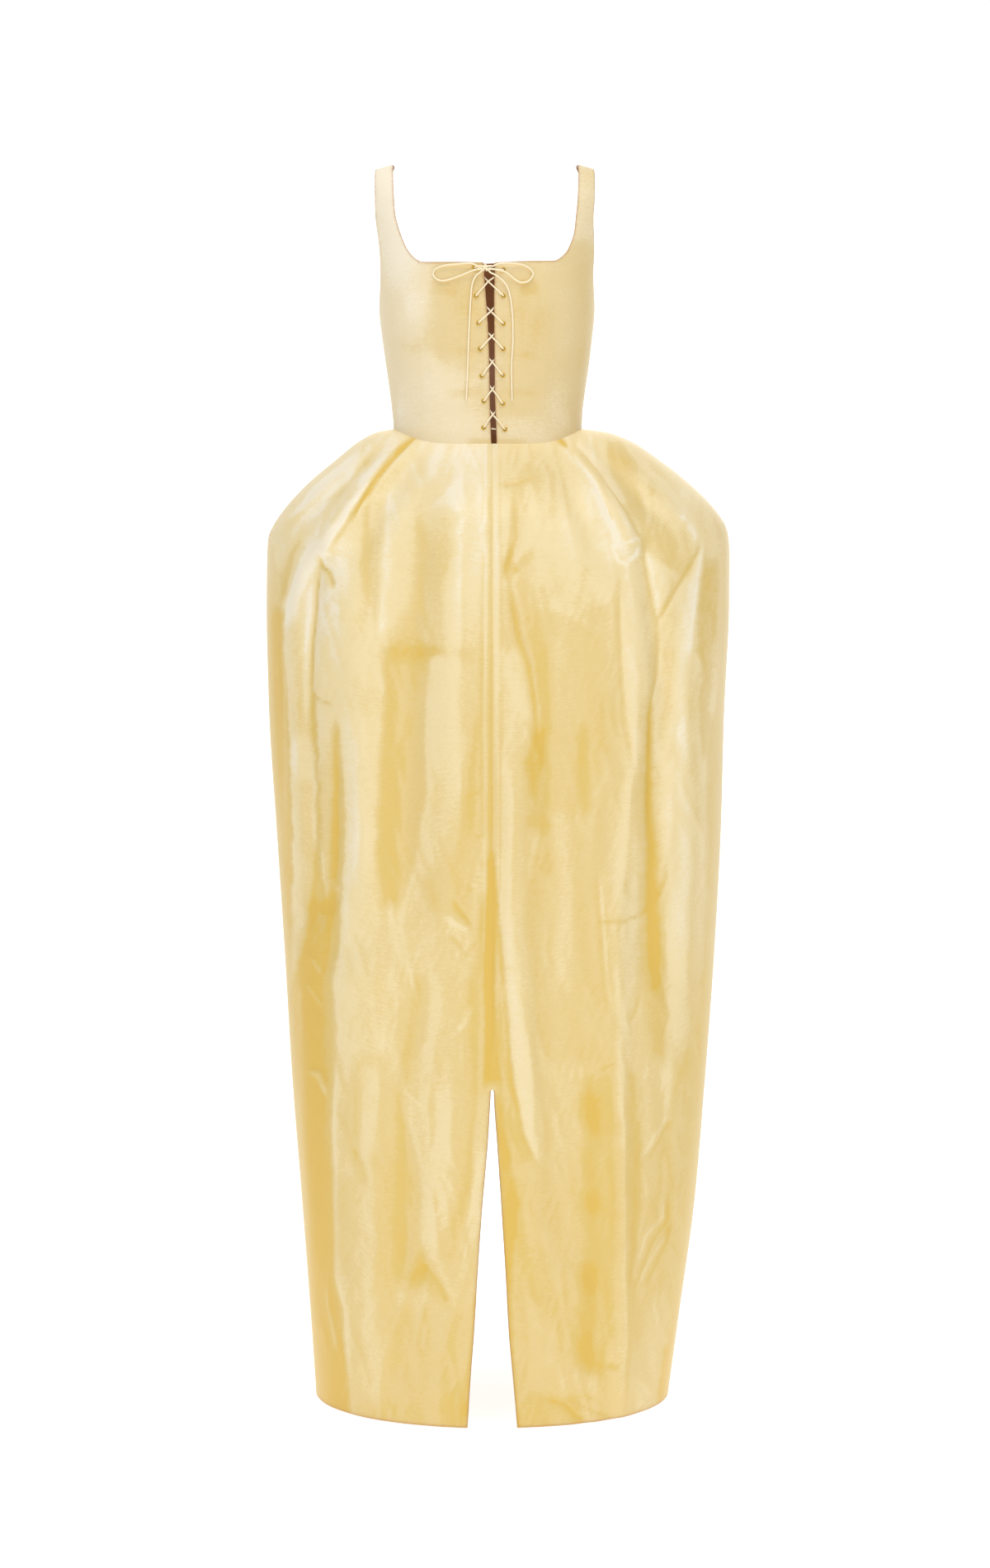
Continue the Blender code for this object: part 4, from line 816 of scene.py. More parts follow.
# Facets, flat planes between the creases, with painted shade where the colour is deeper and a painted highlight where
# it is paler: how much deeper the colour is, how soft their edges are, and rows of down, left edge and right edge
skirtFacets = (
    # left hip and upper left
    (0.30, 2.5, 543, 453, 463, 560, 438, 452, 580, 422, 438, 600, 408, 423, 622, 400, 410),
    (0.26, 2.5, 552, 470, 477, 575, 452, 462, 600, 434, 446, 625, 418, 430, 650, 405, 416, 664, 400, 408),
    (-0.34, 2.5, 546, 438, 448, 566, 424, 436, 590, 402, 416, 610, 384, 400, 634, 358, 374),
    (0.30, 3, 562, 478, 492, 580, 462, 484, 600, 442, 470, 640, 440, 464, 690, 436, 460, 730, 447, 460, 766, 455,
     458),
    (-0.20, 9, 536, 508, 592, 560, 508, 592, 590, 540, 592, 640, 550, 590, 700, 552, 586, 785, 556, 581),
    (-0.24, 5, 598, 468, 500, 640, 466, 500, 700, 462, 500, 740, 460, 490, 768, 459, 466),
    (-0.16, 4, 618, 430, 438, 640, 416, 438, 680, 408, 436, 710, 415, 438, 740, 425, 446),
    (0.20, 4, 616, 520, 548, 624, 506, 562, 640, 500, 548, 680, 506, 548, 705, 503, 536, 740, 499, 538, 770, 488, 540,
     790, 466, 540),
    (0.14, 3, 536, 518, 532, 556, 506, 524, 574, 509, 520),
    (0.20, 3, 560, 532, 552, 575, 528, 556, 590, 515, 545, 600, 512, 535, 614, 508, 520),
    (0.18, 2.5, 784, 542, 560, 794, 550, 568, 800, 558, 565),
    (0.16, 3, 770, 456, 500, 788, 460, 540, 798, 458, 520),
    (0.12, 3, 782, 505, 540, 792, 480, 538, 802, 472, 520),
    (0.40, 3, 792, 470, 530, 800, 466, 520, 860, 464, 514, 900, 461, 512, 960, 459, 516, 1000, 457, 510, 1030, 456,
     506, 1062, 460, 498, 1095, 464, 488),
    (-0.12, 3, 872, 412, 461, 900, 414, 460, 980, 420, 458, 1080, 414, 456, 1150, 412, 466, 1280, 408, 478),
    (0.06, 8, 700, 388, 450, 780, 384, 452, 860, 384, 456),
    (-0.10, 4, 800, 545, 580, 850, 522, 580, 900, 520, 565, 1000, 512, 560, 1060, 510, 545),
    (0.14, 2.5, 590, 592, 596, 700, 584, 596, 800, 582, 596, 900, 580, 596, 1010, 582, 596),
    (0.24, 2.5, 870, 575, 580, 920, 568, 577, 965, 564, 576, 1010, 568, 573),
    (0.16, 6, 960, 552, 568, 1020, 540, 566, 1070, 515, 560, 1100, 520, 566, 1118, 556, 572),
    (0.75, 2, 1035, 593, 599, 1070, 591, 601, 1110, 588, 603, 1160, 587, 602, 1220, 588, 602, 1318, 584, 606),
    (0.30, 4, 1080, 580, 590, 1160, 574, 590, 1220, 568, 590, 1330, 572, 590),
    # left edge
    (0.80, 2, 738, 318, 345, 760, 318, 345, 860, 318, 347, 900, 318, 350, 940, 318, 352, 1000, 318, 355, 1060, 318,
     355, 1120, 318, 353, 1200, 318, 354),
    (-0.24, 3, 646, 328, 345, 670, 332, 347, 694, 335, 344),
    (0.20, 3, 754, 360, 367, 800, 357, 366, 850, 352, 364, 896, 352, 362),
    (-0.26, 3, 886, 352, 372, 920, 352, 379, 950, 359, 383),
    (-0.12, 3, 955, 357, 381, 1000, 356, 380, 1060, 356, 378, 1100, 355, 374, 1140, 354, 366, 1178, 357, 361),
    (-0.14, 2.5, 860, 386, 400, 940, 387, 402, 1000, 390, 400, 1050, 391, 399, 1098, 393, 395),
    (0.60, 2.5, 875, 405, 410, 920, 403, 414, 960, 403, 417, 1000, 400, 418, 1040, 399, 416, 1080, 398, 414, 1104,
     392, 412),
    (0.60, 2, 843, 377, 381, 880, 376, 384, 920, 383, 387, 960, 384, 389, 1000, 384, 390, 1060, 380, 391, 1100, 376,
     396),
    (0.62, 3, 1096, 376, 412, 1140, 370, 411, 1180, 362, 408, 1200, 352, 406, 1240, 340, 407, 1290, 340, 405, 1330,
     340, 401, 1400, 340, 402, 1500, 340, 406, 1548, 350, 408, 1580, 350, 417, 1640, 350, 418, 1680, 350, 423, 1730,
     350, 425),
    (-0.26, 4, 1200, 362, 372, 1240, 370, 388, 1290, 378, 389, 1310, 378, 386),
    (-0.14, 4, 1490, 384, 394, 1510, 382, 396, 1530, 386, 394),
    # lower left
    (0.14, 3, 1305, 422, 430, 1360, 420, 432, 1400, 428, 438, 1440, 438, 446),
    (-0.14, 3, 1315, 404, 414, 1360, 404, 416, 1400, 406, 425, 1425, 408, 432),
    (-0.08, 5, 1290, 436, 476, 1400, 440, 474),
    (0.24, 3, 1180, 502, 520, 1220, 498, 520, 1260, 492, 516, 1290, 484, 500, 1320, 480, 492, 1350, 480, 490, 1380,
     480, 497, 1420, 477, 505, 1450, 476, 508, 1500, 474, 508, 1530, 476, 518, 1558, 484, 524),
    (0.26, 4, 1530, 502, 512, 1550, 496, 518, 1560, 502, 512),
    (0.20, 3, 1515, 508, 522, 1545, 512, 532, 1565, 520, 542, 1584, 534, 547),
    (-0.10, 5, 1315, 512, 560, 1360, 522, 562, 1450, 512, 548, 1510, 515, 536),
    (-0.16, 3, 1390, 576, 596, 1450, 568, 592, 1500, 558, 586, 1550, 540, 580, 1590, 552, 570),
    (0.14, 3, 1320, 574, 590, 1380, 568, 584, 1430, 560, 573, 1480, 548, 560, 1500, 530, 550, 1528, 530, 546),
    (0.12, 7, 1585, 470, 546, 1640, 478, 552, 1700, 500, 556),
    (-0.08, 4, 1550, 412, 462, 1600, 420, 470, 1690, 426, 480),
    (0.16, 4, 1702, 430, 575, 1740, 430, 575),
    (0.24, 3, 1675, 556, 568, 1695, 544, 570, 1725, 548, 572),
    (0.36, 2, 1560, 573, 585, 1620, 570, 582, 1680, 566, 578, 1715, 566, 575),
    # right hip and upper right
    (0.16, 4, 588, 622, 630, 630, 620, 632, 672, 616, 630),
    (-0.20, 4, 582, 632, 645, 620, 640, 652, 650, 636, 650, 668, 624, 640, 684, 614, 624),
    (0.50, 2.2, 660, 616, 620, 680, 611, 622, 692, 608, 628, 699, 610, 622),
    (0.24, 3, 664, 640, 648, 676, 630, 644, 688, 622, 638),
    (0.14, 5, 668, 656, 670, 700, 664, 678, 724, 672, 684),
    (-0.22, 3, 572, 694, 712, 600, 704, 724, 640, 712, 750, 660, 718, 752, 690, 716, 752, 710, 708, 744, 730, 704,
     738, 740, 702, 716),
    (-0.22, 2.5, 583, 728, 738, 610, 742, 754, 640, 757, 772, 660, 763, 776, 680, 758, 770),
    (0.18, 7, 736, 640, 668, 770, 640, 728, 800, 646, 735, 860, 655, 738, 900, 660, 735, 985, 655, 720),
    (0.12, 6, 700, 626, 638, 740, 628, 652, 800, 644, 668, 860, 652, 672, 900, 656, 674),
    (0.30, 3, 536, 735, 752, 560, 738, 768, 580, 742, 775, 600, 756, 800, 630, 768, 822, 650, 775, 838, 667, 778, 842,
     684, 806, 838, 696, 826, 838),
    (0.18, 5, 540, 738, 748, 580, 748, 764, 625, 762, 788),
    (-0.22, 3, 540, 756, 772, 570, 778, 792, 590, 795, 812, 610, 815, 828, 630, 825, 840, 655, 842, 852),
    (-0.26, 2, 662, 780, 796, 672, 781, 806, 700, 786, 812, 720, 790, 808, 754, 796, 798),
    (-0.18, 2.5, 656, 848, 854, 690, 840, 852, 730, 830, 848, 770, 824, 842, 800, 820, 836, 850, 815, 830, 900, 812,
     836),
    (0.10, 4, 730, 806, 818, 770, 802, 818, 900, 800, 812),
    (0.40, 2.5, 680, 853, 873, 720, 848, 870, 760, 845, 868, 790, 844, 860, 806, 850, 862, 860, 850, 860, 915, 852,
     858),
    (-0.20, 2, 650, 874, 879, 760, 869, 875, 860, 864, 870, 940, 860, 866),
    (-0.14, 3, 688, 752, 776, 760, 753, 778, 820, 755, 782, 880, 762, 780, 915, 768, 780),
    # middle right
    (0.40, 3, 880, 649, 660, 905, 641, 661, 925, 634, 660, 945, 639, 652, 975, 645, 650),
    (0.28, 4, 978, 640, 652, 1000, 638, 668, 1014, 646, 660),
    (0.24, 3, 880, 702, 714, 930, 704, 716, 960, 706, 718, 986, 711, 718),
    (0.14, 6, 1030, 634, 676, 1070, 634, 680, 1100, 638, 678, 1180, 646, 676, 1290, 660, 738),
    (-0.26, 3, 785, 602, 632, 820, 603, 640, 860, 604, 644, 900, 605, 638, 925, 606, 633, 1000, 605, 633, 1080, 604,
     634, 1120, 608, 637, 1160, 612, 643, 1220, 619, 648, 1280, 621, 652, 1330, 627, 656, 1380, 638, 657, 1414, 651,
     658),
    (0.30, 2.5, 1095, 602, 604, 1160, 602, 611, 1220, 602, 617, 1300, 603, 620, 1370, 604, 632, 1414, 606, 648),
    (0.60, 2.5, 850, 787, 791, 900, 783, 792, 960, 784, 792, 1040, 782, 796, 1100, 783, 798, 1150, 784, 801, 1200,
     792, 800),
    (0.22, 4, 940, 778, 800, 1100, 775, 806, 1160, 776, 807, 1240, 786, 806, 1280, 792, 806),
    (-0.14, 5, 870, 812, 848, 940, 806, 856, 1000, 806, 856, 1100, 810, 854, 1200, 812, 850, 1260, 816, 842),
    (0.14, 4, 905, 840, 846, 950, 838, 852, 1000, 842, 850),
    (-0.22, 2.5, 885, 768, 776, 930, 766, 775, 960, 763, 770, 1000, 760, 768, 1060, 757, 770, 1100, 752, 775, 1160,
     748, 773, 1220, 745, 768, 1260, 744, 766, 1300, 750, 761, 1380, 752, 758, 1500, 755, 762, 1600, 757, 761, 1660,
     757, 761),
    (0.26, 2, 870, 860, 880, 1000, 858, 880, 1150, 854, 880, 1300, 846, 880, 1400, 842, 880),
    # lower right
    (0.50, 2.5, 1325, 598, 604, 1400, 604, 618, 1460, 608, 628, 1500, 608, 626, 1560, 610, 620, 1620, 610, 622, 1735,
     610, 632),
    (0.22, 5, 1420, 618, 640, 1500, 626, 640, 1560, 640, 652, 1580, 648, 660),
    (0.30, 6, 1300, 705, 744, 1340, 700, 747, 1380, 710, 748, 1420, 705, 750, 1460, 708, 751, 1500, 712, 752, 1540,
     702, 750, 1600, 700, 742, 1640, 700, 736, 1668, 710, 730),
    (0.22, 7, 1322, 706, 735, 1350, 702, 746, 1376, 714, 746),
    (0.34, 6, 1446, 708, 726, 1474, 714, 734),
    (0.30, 6, 1532, 704, 728, 1566, 708, 730),
    (0.30, 6, 1626, 702, 722, 1664, 714, 732),
    (-0.18, 3, 1488, 655, 672, 1515, 662, 674, 1562, 672, 686),
    (-0.20, 3, 1604, 648, 674, 1614, 658, 675, 1650, 664, 677),
    (-0.14, 5, 1652, 664, 690, 1668, 676, 716, 1690, 684, 716),
    (-0.10, 5, 1520, 622, 640, 1600, 622, 650, 1650, 624, 648),
    (0.26, 2.5, 1300, 764, 772, 1400, 766, 776, 1460, 766, 778, 1548, 763, 768),
    (-0.16, 3, 1285, 780, 816, 1350, 780, 812, 1400, 779, 800, 1450, 780, 800),
    (0.20, 3, 1285, 820, 836, 1330, 814, 824, 1380, 805, 814, 1440, 809, 816, 1510, 806, 812),
    (-0.18, 4, 1575, 792, 808, 1620, 778, 800, 1680, 774, 796, 1710, 764, 786),
    (0.55, 2.5, 1400, 842, 860, 1500, 834, 860, 1560, 826, 850, 1600, 815, 840, 1640, 805, 830, 1680, 799, 825, 1705,
     797, 815),
    (0.22, 4, 1690, 640, 690, 1735, 620, 720),
)
# Wide soft pools of painted light and painted shade: how much deeper, across, down, half width and half height
skirtPools = (
    # left hip and upper left
    (-0.33, 398, 728, 26, 74), (-0.14, 362, 745, 12, 80), (0.20, 329, 785, 9, 60), (-0.12, 455, 950, 15, 90),
    (-0.08, 455, 805, 14, 24), (0.14, 530, 680, 24, 46), (0.18, 545, 925, 16, 90), (-0.20, 575, 682, 13, 46),
    (0.14, 365, 1200, 17, 110), (0.14, 572, 1100, 13, 80), (0.12, 520, 1040, 20, 60),
    # upper right
    (0.18, 630, 580, 30, 30), (0.10, 722, 556, 80, 26), (0.16, 634, 695, 14, 60), (0.14, 660, 600, 30, 40),
    (0.30, 603, 1000, 13, 130), (0.12, 640, 940, 20, 90), (0.16, 683, 990, 26, 110), (0.20, 748, 930, 22, 70),
    (0.13, 725, 1190, 28, 100), (0.12, 722, 735, 15, 34), (0.16, 790, 560, 30, 30), (-0.10, 725, 665, 20, 26),
    # lower right
    (-0.12, 783, 870, 12, 100), (-0.08, 845, 850, 12, 90), (0.24, 848, 1320, 18, 90), (0.22, 818, 1490, 18, 110),
    (0.14, 757, 1490, 14, 150), (0.24, 660, 1565, 20, 84), (0.10, 640, 1260, 18, 60),
    # lower left
    (0.26, 388, 1540, 12, 110), (0.10, 545, 1260, 18, 50), (-0.10, 440, 1025, 10, 40), (-0.10, 530, 1500, 16, 40),
)
# The bodice's marks, facets and pools, as the skirt's: painted shade and highlight with a little relief
bodiceMarks = (
    ("soft", 6, -0.3, -0.3, 0.22, 556, 534, 600, 537, 644, 534),
    ("soft", 7, -0.5, -0.5, 0.10, 548, 430, 592, 428),
    ("soft", 7, -0.5, -0.5, 0.10, 604, 430, 655, 432),
    ("soft", 8, -0.5, -0.5, 0.12, 535, 476, 592, 474),
    ("soft", 8, -0.5, -0.5, 0.12, 604, 476, 660, 478),
    ("soft", 12, 0.6, 0.6, -0.06, 520, 400, 528, 500),
    ("soft", 14, -0.5, -0.5, 0.0, 676, 330, 672, 480),
    ("soft", 10, 0.5, 0.5, -0.06, 645, 360, 640, 420),
    ("soft", 18, -0.4, -0.4, 0.0, 700, 300, 706, 460),
    ("soft", 16, 0.3, 0.3, -0.08, 500, 340, 505, 430),
    ("soft", 8, -0.3, -0.3, 0.14, 520, 346, 560, 352),
    ("soft", 8, -0.3, -0.3, 0.14, 628, 350, 658, 352),
)
bodiceFacets = (
    (-0.22, 12, 190, 450, 490, 300, 455, 505, 340, 465, 524, 375, 470, 512, 410, 470, 496),
    (-0.16, 14, 430, 488, 560, 480, 482, 570, 530, 480, 592),
    (-0.14, 6, 486, 478, 494, 510, 478, 492),
    (0.10, 14, 350, 520, 565, 430, 520, 560),
    (0.20, 14, 330, 612, 660, 400, 606, 668, 450, 608, 660, 500, 600, 650),
    (0.16, 14, 300, 668, 724, 400, 670, 724, 500, 680, 716),
    (0.20, 7, 290, 702, 728, 400, 700, 726, 520, 696, 716),
    (0.16, 7, 190, 702, 730, 225, 702, 730),
)
bodicePools = (
    (-0.22, 490, 302, 24, 26), (-0.32, 464, 225, 20, 44), (0.32, 577, 338, 18, 40), (0.14, 575, 430, 18, 46),
    (0.16, 545, 372, 20, 60), (0.20, 637, 366, 17, 60), (-0.20, 486, 500, 22, 34), (0.14, 700, 508, 10, 36),
    (-0.06, 478, 440, 16, 40), (0.10, 665, 380, 14, 60),
)
skirtPress, bodicePress = (skirtMarks, skirtFacets, skirtPools), (bodiceMarks, bodiceFacets, bodicePools)

# Fine crumple of the cloth: depth in millimetres, width, height and lean of its facets, and a seed
skirtCrumple = ((1.1, 34.0, 120.0, 0.05, 11), (0.6, 17.0, 52.0, -0.22, 12), (0.26, 11.0, 24.0, 0.35, 13))
bodiceCrumple = ((0.35, 30.0, 60.0, 0.10, 21), (0.2, 14.0, 26.0, -0.25, 22))
mirrorLine = 1194       # twice the gown's centre line, in pixels


def changedOver(marks, facets, pools):  # the hidden front: like the back's, but changed over and uneven
    newMarks, newFacets = [], []
    for index, (kind, width, depth0, depth1, deeper, *path) in enumerate(marks):
        strength = 0.8 + 0.25 * math.sin(1.7 * index)
        if kind == "step":
            strength = -strength
        path[::2] = [mirrorLine - across + 5 * math.sin(2.3 * index) for across in path[::2]]
        path[1::2] = [down + 9 * math.cos(1.9 * index) for down in path[1::2]]
        newMarks.append((kind, width, depth0 * strength, depth1 * strength, deeper * abs(strength), *path))
    for index, (deeper, edge, *rows) in enumerate(facets):
        levels = [down + 12 * math.cos(2.1 * index) for down in rows[::3]]
        starts, stops = ([mirrorLine - across + 6 * math.sin(1.3 * index) for across in rows[n::3]] for n in (2, 1))
        newFacets.append((deeper * (0.85 + 0.2 * math.sin(0.9 * index)), edge, *sum(zip(levels, starts, stops), ())))
    newPools = [(0.9 * deeper, mirrorLine - across, down + 8, *size) for deeper, across, down, *size in pools]
    return newMarks, newFacets, newPools


def flatView(face, points):             # where a point of a face is seen, in pixels
    scale = viewer["pixelsPerMetre"] * viewer["away"] / (viewer["away"] - face * points[..., 1])
    across = viewer["middle"][0] + scale * (points[..., 0] - viewer["across"])
    return across, viewer["middle"][1] - scale * (points[..., 2] - viewer["height"])


def nearPath(path, across, down):       # distance from a path, side of it, and share of the way along it
    best = np.full(across.shape, 1e9)
    side, share = np.zeros(across.shape), np.zeros(across.shape)
    runs = [math.dist(start, stop) for start, stop in zip(path, path[1:])]
    passed = 0.0
    for (u0, v0), (u1, v1), run in zip(path, path[1:], runs):
        du, dv = (u1 - u0) / run, (v1 - v0) / run
        along = np.clip((across - u0) * du + (down - v0) * dv, 0.0, run)
        distance = np.hypot(across - u0 - along * du, down - v0 - along * dv)
        nearer = distance < best
        best = np.where(nearer, distance, best)
        side = np.where(nearer, (across - u0) * dv - (down - v0) * du, side)
        share = np.where(nearer, (passed + along) / sum(runs), share)
        passed += run
    return best, side, share


def softNoise(across, down, size, seed):    # smooth and seeded, from -1 to 1
    lattice = np.random.default_rng(seed).uniform(-1.0, 1.0, (64, 64))
    x, y = across / size[0], down / size[1]
    column, line = np.floor(x).astype(int), np.floor(y).astype(int)
    fx, fy = smoothStep(0.0, 1.0, x - column), smoothStep(0.0, 1.0, y - line)
    low, high = (
        lattice[column % 64, (line + lower) % 64] * (1 - fx) + lattice[(column + 1) % 64, (line + lower) % 64] * fx
        for lower in (0, 1)
    )
    return low * (1 - fy) + high * fy


def crumple(across, down, layers):      # crisp shallow facets: ridges where a noise passes through nought
    lift = np.zeros(across.shape)
    for depth, wide, tall, lean, seed in layers:
        turned = across + lean * down
        bent = turned + 0.5 * wide * softNoise(across, down, (2.3 * wide, 1.4 * tall), seed + 50)
        lift += depth * (0.5 - np.abs(softNoise(bent, down - lean * across, (wide, tall), seed))) / 1000
    return lift


# How the marks waver (strength, width and height of the waves, and a seed) and how facets end
wavers = ((2.5, (70.0, 60.0), 3), (1.2, (24.0, 18.0), 4))
uneven = (0.45, (60.0, 80.0), 5)
facetEdge = {"ragged": (1.2, (30.0, 4.0), 6), "end": 24.0, "depth": 0.0014, "deeper": 0.85, "paler": 0.62}


def wave(across, down, strength, size, seed):
    return strength * softNoise(across, down, size, seed)


def pressMarks(marks, facets, pools, face, points):    # how far they lift the cloth and deepen its colour
    # the colour they add is painted shade where it deepens and a painted highlight where it pales
    across, down = flatView(face, points)
    lift, tone = np.zeros(across.shape), np.zeros(across.shape)
    waver = sum(wave(across, down, *each) for each in wavers)
    feather = across + waver + wave(across, down, *facetEdge["ragged"])
    for deeper, middle, level, wide, tall in pools:
        tone += deeper * np.exp(-0.5 * (((across + waver - middle) / wide) ** 2 + ((down - level) / tall) ** 2))
    for change, edge, *rows in facets:
        deeper = change * facetEdge["deeper" if change > 0 else "paler"]
        levels, starts, stops = rows[::3], rows[1::3], rows[2::3]
        inner = np.minimum(feather - np.interp(down, levels, starts), np.interp(down, levels, stops) - feather)
        ends = np.minimum(down - levels[0], levels[-1] - down) + facetEdge["end"] / 2
        held = deeper * smoothStep(0.0, facetEdge["end"], ends + 2.0 * waver)
        tone += held * (0.5 + 0.5 * np.tanh(inner / edge))
        lift -= facetEdge["depth"] * held * (0.5 + 0.5 * np.tanh(inner / (edge + 4.0)))
    spread = 1.0 + wave(across, down, *uneven)
    for kind, width, depth0, depth1, deeper, *path in marks:
        loose = min(width / 12.0, 1.0) if kind == "soft" else 0.1
        path = list(zip(path[::2], path[1::2]))
        distance, side, share = nearPath(path, across + loose * waver, down + 2.0 * loose * waver)
        fade = 0.25 if kind == "soft" else 0.12
        ends = smoothStep(0.0, fade, share) * smoothStep(0.0, fade, 1.0 - share)
        if kind == "soft":
            form = np.exp(-(distance / (width * spread)) ** 2) * (0.25 + 0.75 * ends)
            edge = max(2.2, 0.14 * width)
            paintedShading = (0.5 - 0.5 * np.tanh((distance - 0.95 * width * spread) / edge)) * ends
        elif kind == "sharp":
            paintedShading = form = np.exp(-distance / width) * (0.25 + 0.75 * ends)
        else:
            paintedShading = form = 0.5 * np.tanh(side / width) * np.exp(-(distance / (7 * width)) ** 2) * ends
        lift += form * (depth0 + (depth1 - depth0) * share) / 1000
        tone += paintedShading * deeper
    return lift, tone


# By a side seam both panels fade to one soft tone, so that no mark ends at the seam
sideTone = {"probe": 0.955, "share": 0.5, back: (0.91, 0.985), front: (0.70, 0.96), "bodiceBlur": 12, "skirtBlur": 20}


def toneBySide(press, surface, side, places, blur):
    angle = np.full(places.shape, side * math.asin(sideTone["probe"]))
    tone = pressMarks(*press, back, surface(back, angle, places))[1]
    weights = np.exp(-0.5 * (np.arange(-3 * blur, 3 * blur + 1) / blur) ** 2)
    tone = np.convolve(np.pad(tone, 3 * blur, mode="edge"), weights / weights.sum(), mode="valid")
    return tone * sideTone["share"]


# A closed shell from two matching sheets, with its outer edge turned over
panelMesh = {
    "turn": 0.45, "seamTurn": 0.0, "skirtColumns": 130, "skirtRows": 378, "crowding": 0.32, "bodiceStep": 0.0027,
    "rowStep": 0.87, "clear": 0.6, "holeRadius": 0.0023, "holeSides": 20, "gapTop": -0.136, "gapSteps": 80,
}


def closeShell(name, outer, normal, wall, faces, uvs, tone, rim, material, free):
    count = len(outer)
    opposite = {}
    for face in faces:
        middle = outer[list(face)].mean(axis=0)
        for edge in zip(face, face[1:] + face[:1]):
            opposite[edge] = middle
    edges = [(a, b) for a, b in opposite if (b, a) not in opposite]
    border = sorted({index for edge in edges for index in edge})
    ringOf = {index: 2 * count + number for number, index in enumerate(border)}
    pull = {index: np.zeros(3) for index in border}
    for a, b in edges:
        along = unit(outer[b] - outer[a])
        away = (outer[a] + outer[b]) / 2 - opposite[(a, b)]
        away = unit(away - along * away.dot(along))
        pull[a] += away
        pull[b] += away
    inner = outer - normal * wall
    places = np.concatenate([outer, inner, (outer[border] + inner[border]) / 2])
    for index in border:
        turned = unit(pull[index]) * wall * panelMesh["turn" if free[index] else "seamTurn"]
        places[[index, index + count]] -= turned
    polygons = [tuple(face) for face in faces]
    polygons += [tuple(index + count for index in reversed(face)) for face in faces]
    for a, b in edges:
        polygons += [(b, a, ringOf[a], ringOf[b]), (ringOf[b], ringOf[a], a + count, b + count)]
    mesh = bpy.data.meshes.new(name)
    mesh.from_pydata(places.tolist(), [], polygons)
    work = bmesh.new()
    work.from_mesh(mesh)
    bmesh.ops.recalc_face_normals(work, faces=work.faces)
    work.to_mesh(mesh)
    work.free()
    source = np.concatenate([np.arange(count), np.arange(count), np.array(border)])
    corners = np.zeros(len(mesh.loops), dtype=np.int32)
    mesh.loops.foreach_get("vertex_index", corners)
    mesh.uv_layers.new(name="weave").data.foreach_set("uv", uvs[source[corners]].astype(np.float32).ravel())
    inside = np.concatenate([np.zeros(count), np.ones(count), np.full(len(border), 0.5)])
    for label, values in (("tone", tone[source]), ("rim", rim[source]), ("inside", inside)):
        mesh.attributes.new(label, "FLOAT", "POINT").data.foreach_set("value", values.astype(np.float32))
    mesh.materials.append(material)
    mesh.shade_smooth()
    sewn = {index + shift for index in border if not free[index] for shift in (0, count)}
    sharp = [edge.vertices[0] in sewn and edge.vertices[1] in sewn for edge in mesh.edges]
    mesh.attributes.new("sharp_edge", "BOOLEAN", "EDGE").data.foreach_set("value", sharp)
    return newObject(name, mesh)


# Bodice panels: cut flat, then laid on the body's form
def patternPoint(across, down):
    return (float(angleOf(across, down)) * cut["girthScale"], down)


def strapAndArmhole(side, outer):
    strap = [patternPoint(across, down) for down, across in outer]
    hole = [(side * math.radians(degrees) * cut["girthScale"], down) for down, degrees in armhole]
    return strap + hole + [(side * math.pi / 2 * cut["girthScale"], cut["underarm"])]


def backNeckEdge(rows, middle):
    return [patternPoint(across, down) for down, across in rows] + [patternPoint(middle, cut["neckMiddle"])]


def frontNeckEdge(rows):
    scale = 1.0 - cut["frontNeckRise"] / cut["neckMiddle"]
    edge = []
    for down, across in rows:
        share = 1.0 + (cut["frontStrapShare"] - 1.0) * smoothStep(0.0, cut["strapEase"], down)
        droop = cut["frontNeckDroop"] * smoothStep(*cut["droopAcross"], abs(across))
        droop *= smoothStep(*cut["droopDown"], down)
        edge.append(patternPoint(across * share, down * scale + droop))
    return edge + [patternPoint(0.0, cut["neckMiddle"] * scale)]


def even(points):
    line = through([(x, y, 0.0) for x, y in points], panelMesh["bodiceStep"])
    return [(x, y) for x, y, _ in line.tolist()]


def waistEdge(face, start, stop):
    middle = cut["waistBack"] if face == back else cut["waistFront"]
    angles = np.linspace(start, stop, max(2, round(abs(stop - start) * cut["girthScale"] / panelMesh["bodiceStep"])))
    height = middle + (cut["waistSide"] - middle) * np.abs(np.sin(angles)) ** cut["seamRise"]
    downs = downOfHeight(-height + cut["seamGap"] / 2)
    return list(zip((angles * cut["girthScale"]).tolist(), downs.tolist()))


def sideSeam(side):                     # from the waist up to the underarm, without its ends
    top, bottom = cut["underarm"], float(downOfHeight(-cut["waistSide"] + cut["seamGap"] / 2))
    downs = np.linspace(bottom, top, round((bottom - top) / panelMesh["bodiceStep"]))[1:-1]
    return [(side * math.pi / 2 * cut["girthScale"], down) for down in downs.tolist()]


def insideOf(points, loop):
    x, y = points[:, 0], points[:, 1]
    odd = np.zeros(len(points), dtype=bool)
    for (x0, y0), (x1, y1) in zip(loop, loop[1:] + loop[:1]):
        if y0 != y1:
            odd ^= ((y0 > y) != (y1 > y)) & (x < x0 + (x1 - x0) * (y - y0) / (y1 - y0))
    return odd


def eyeletRing(across, height):
    down, radius = float(downOfHeight(-height)), panelMesh["holeRadius"]
    turns = [2 * math.pi * number / panelMesh["holeSides"] for number in range(panelMesh["holeSides"])]
    return [patternPoint(across + radius * math.cos(turn), down + radius * math.sin(turn)) for turn in turns]


def nearest(points, others):            # how far each point is from the nearest of the others
    return np.array([np.hypot(*(others - point).T).min() for point in points])


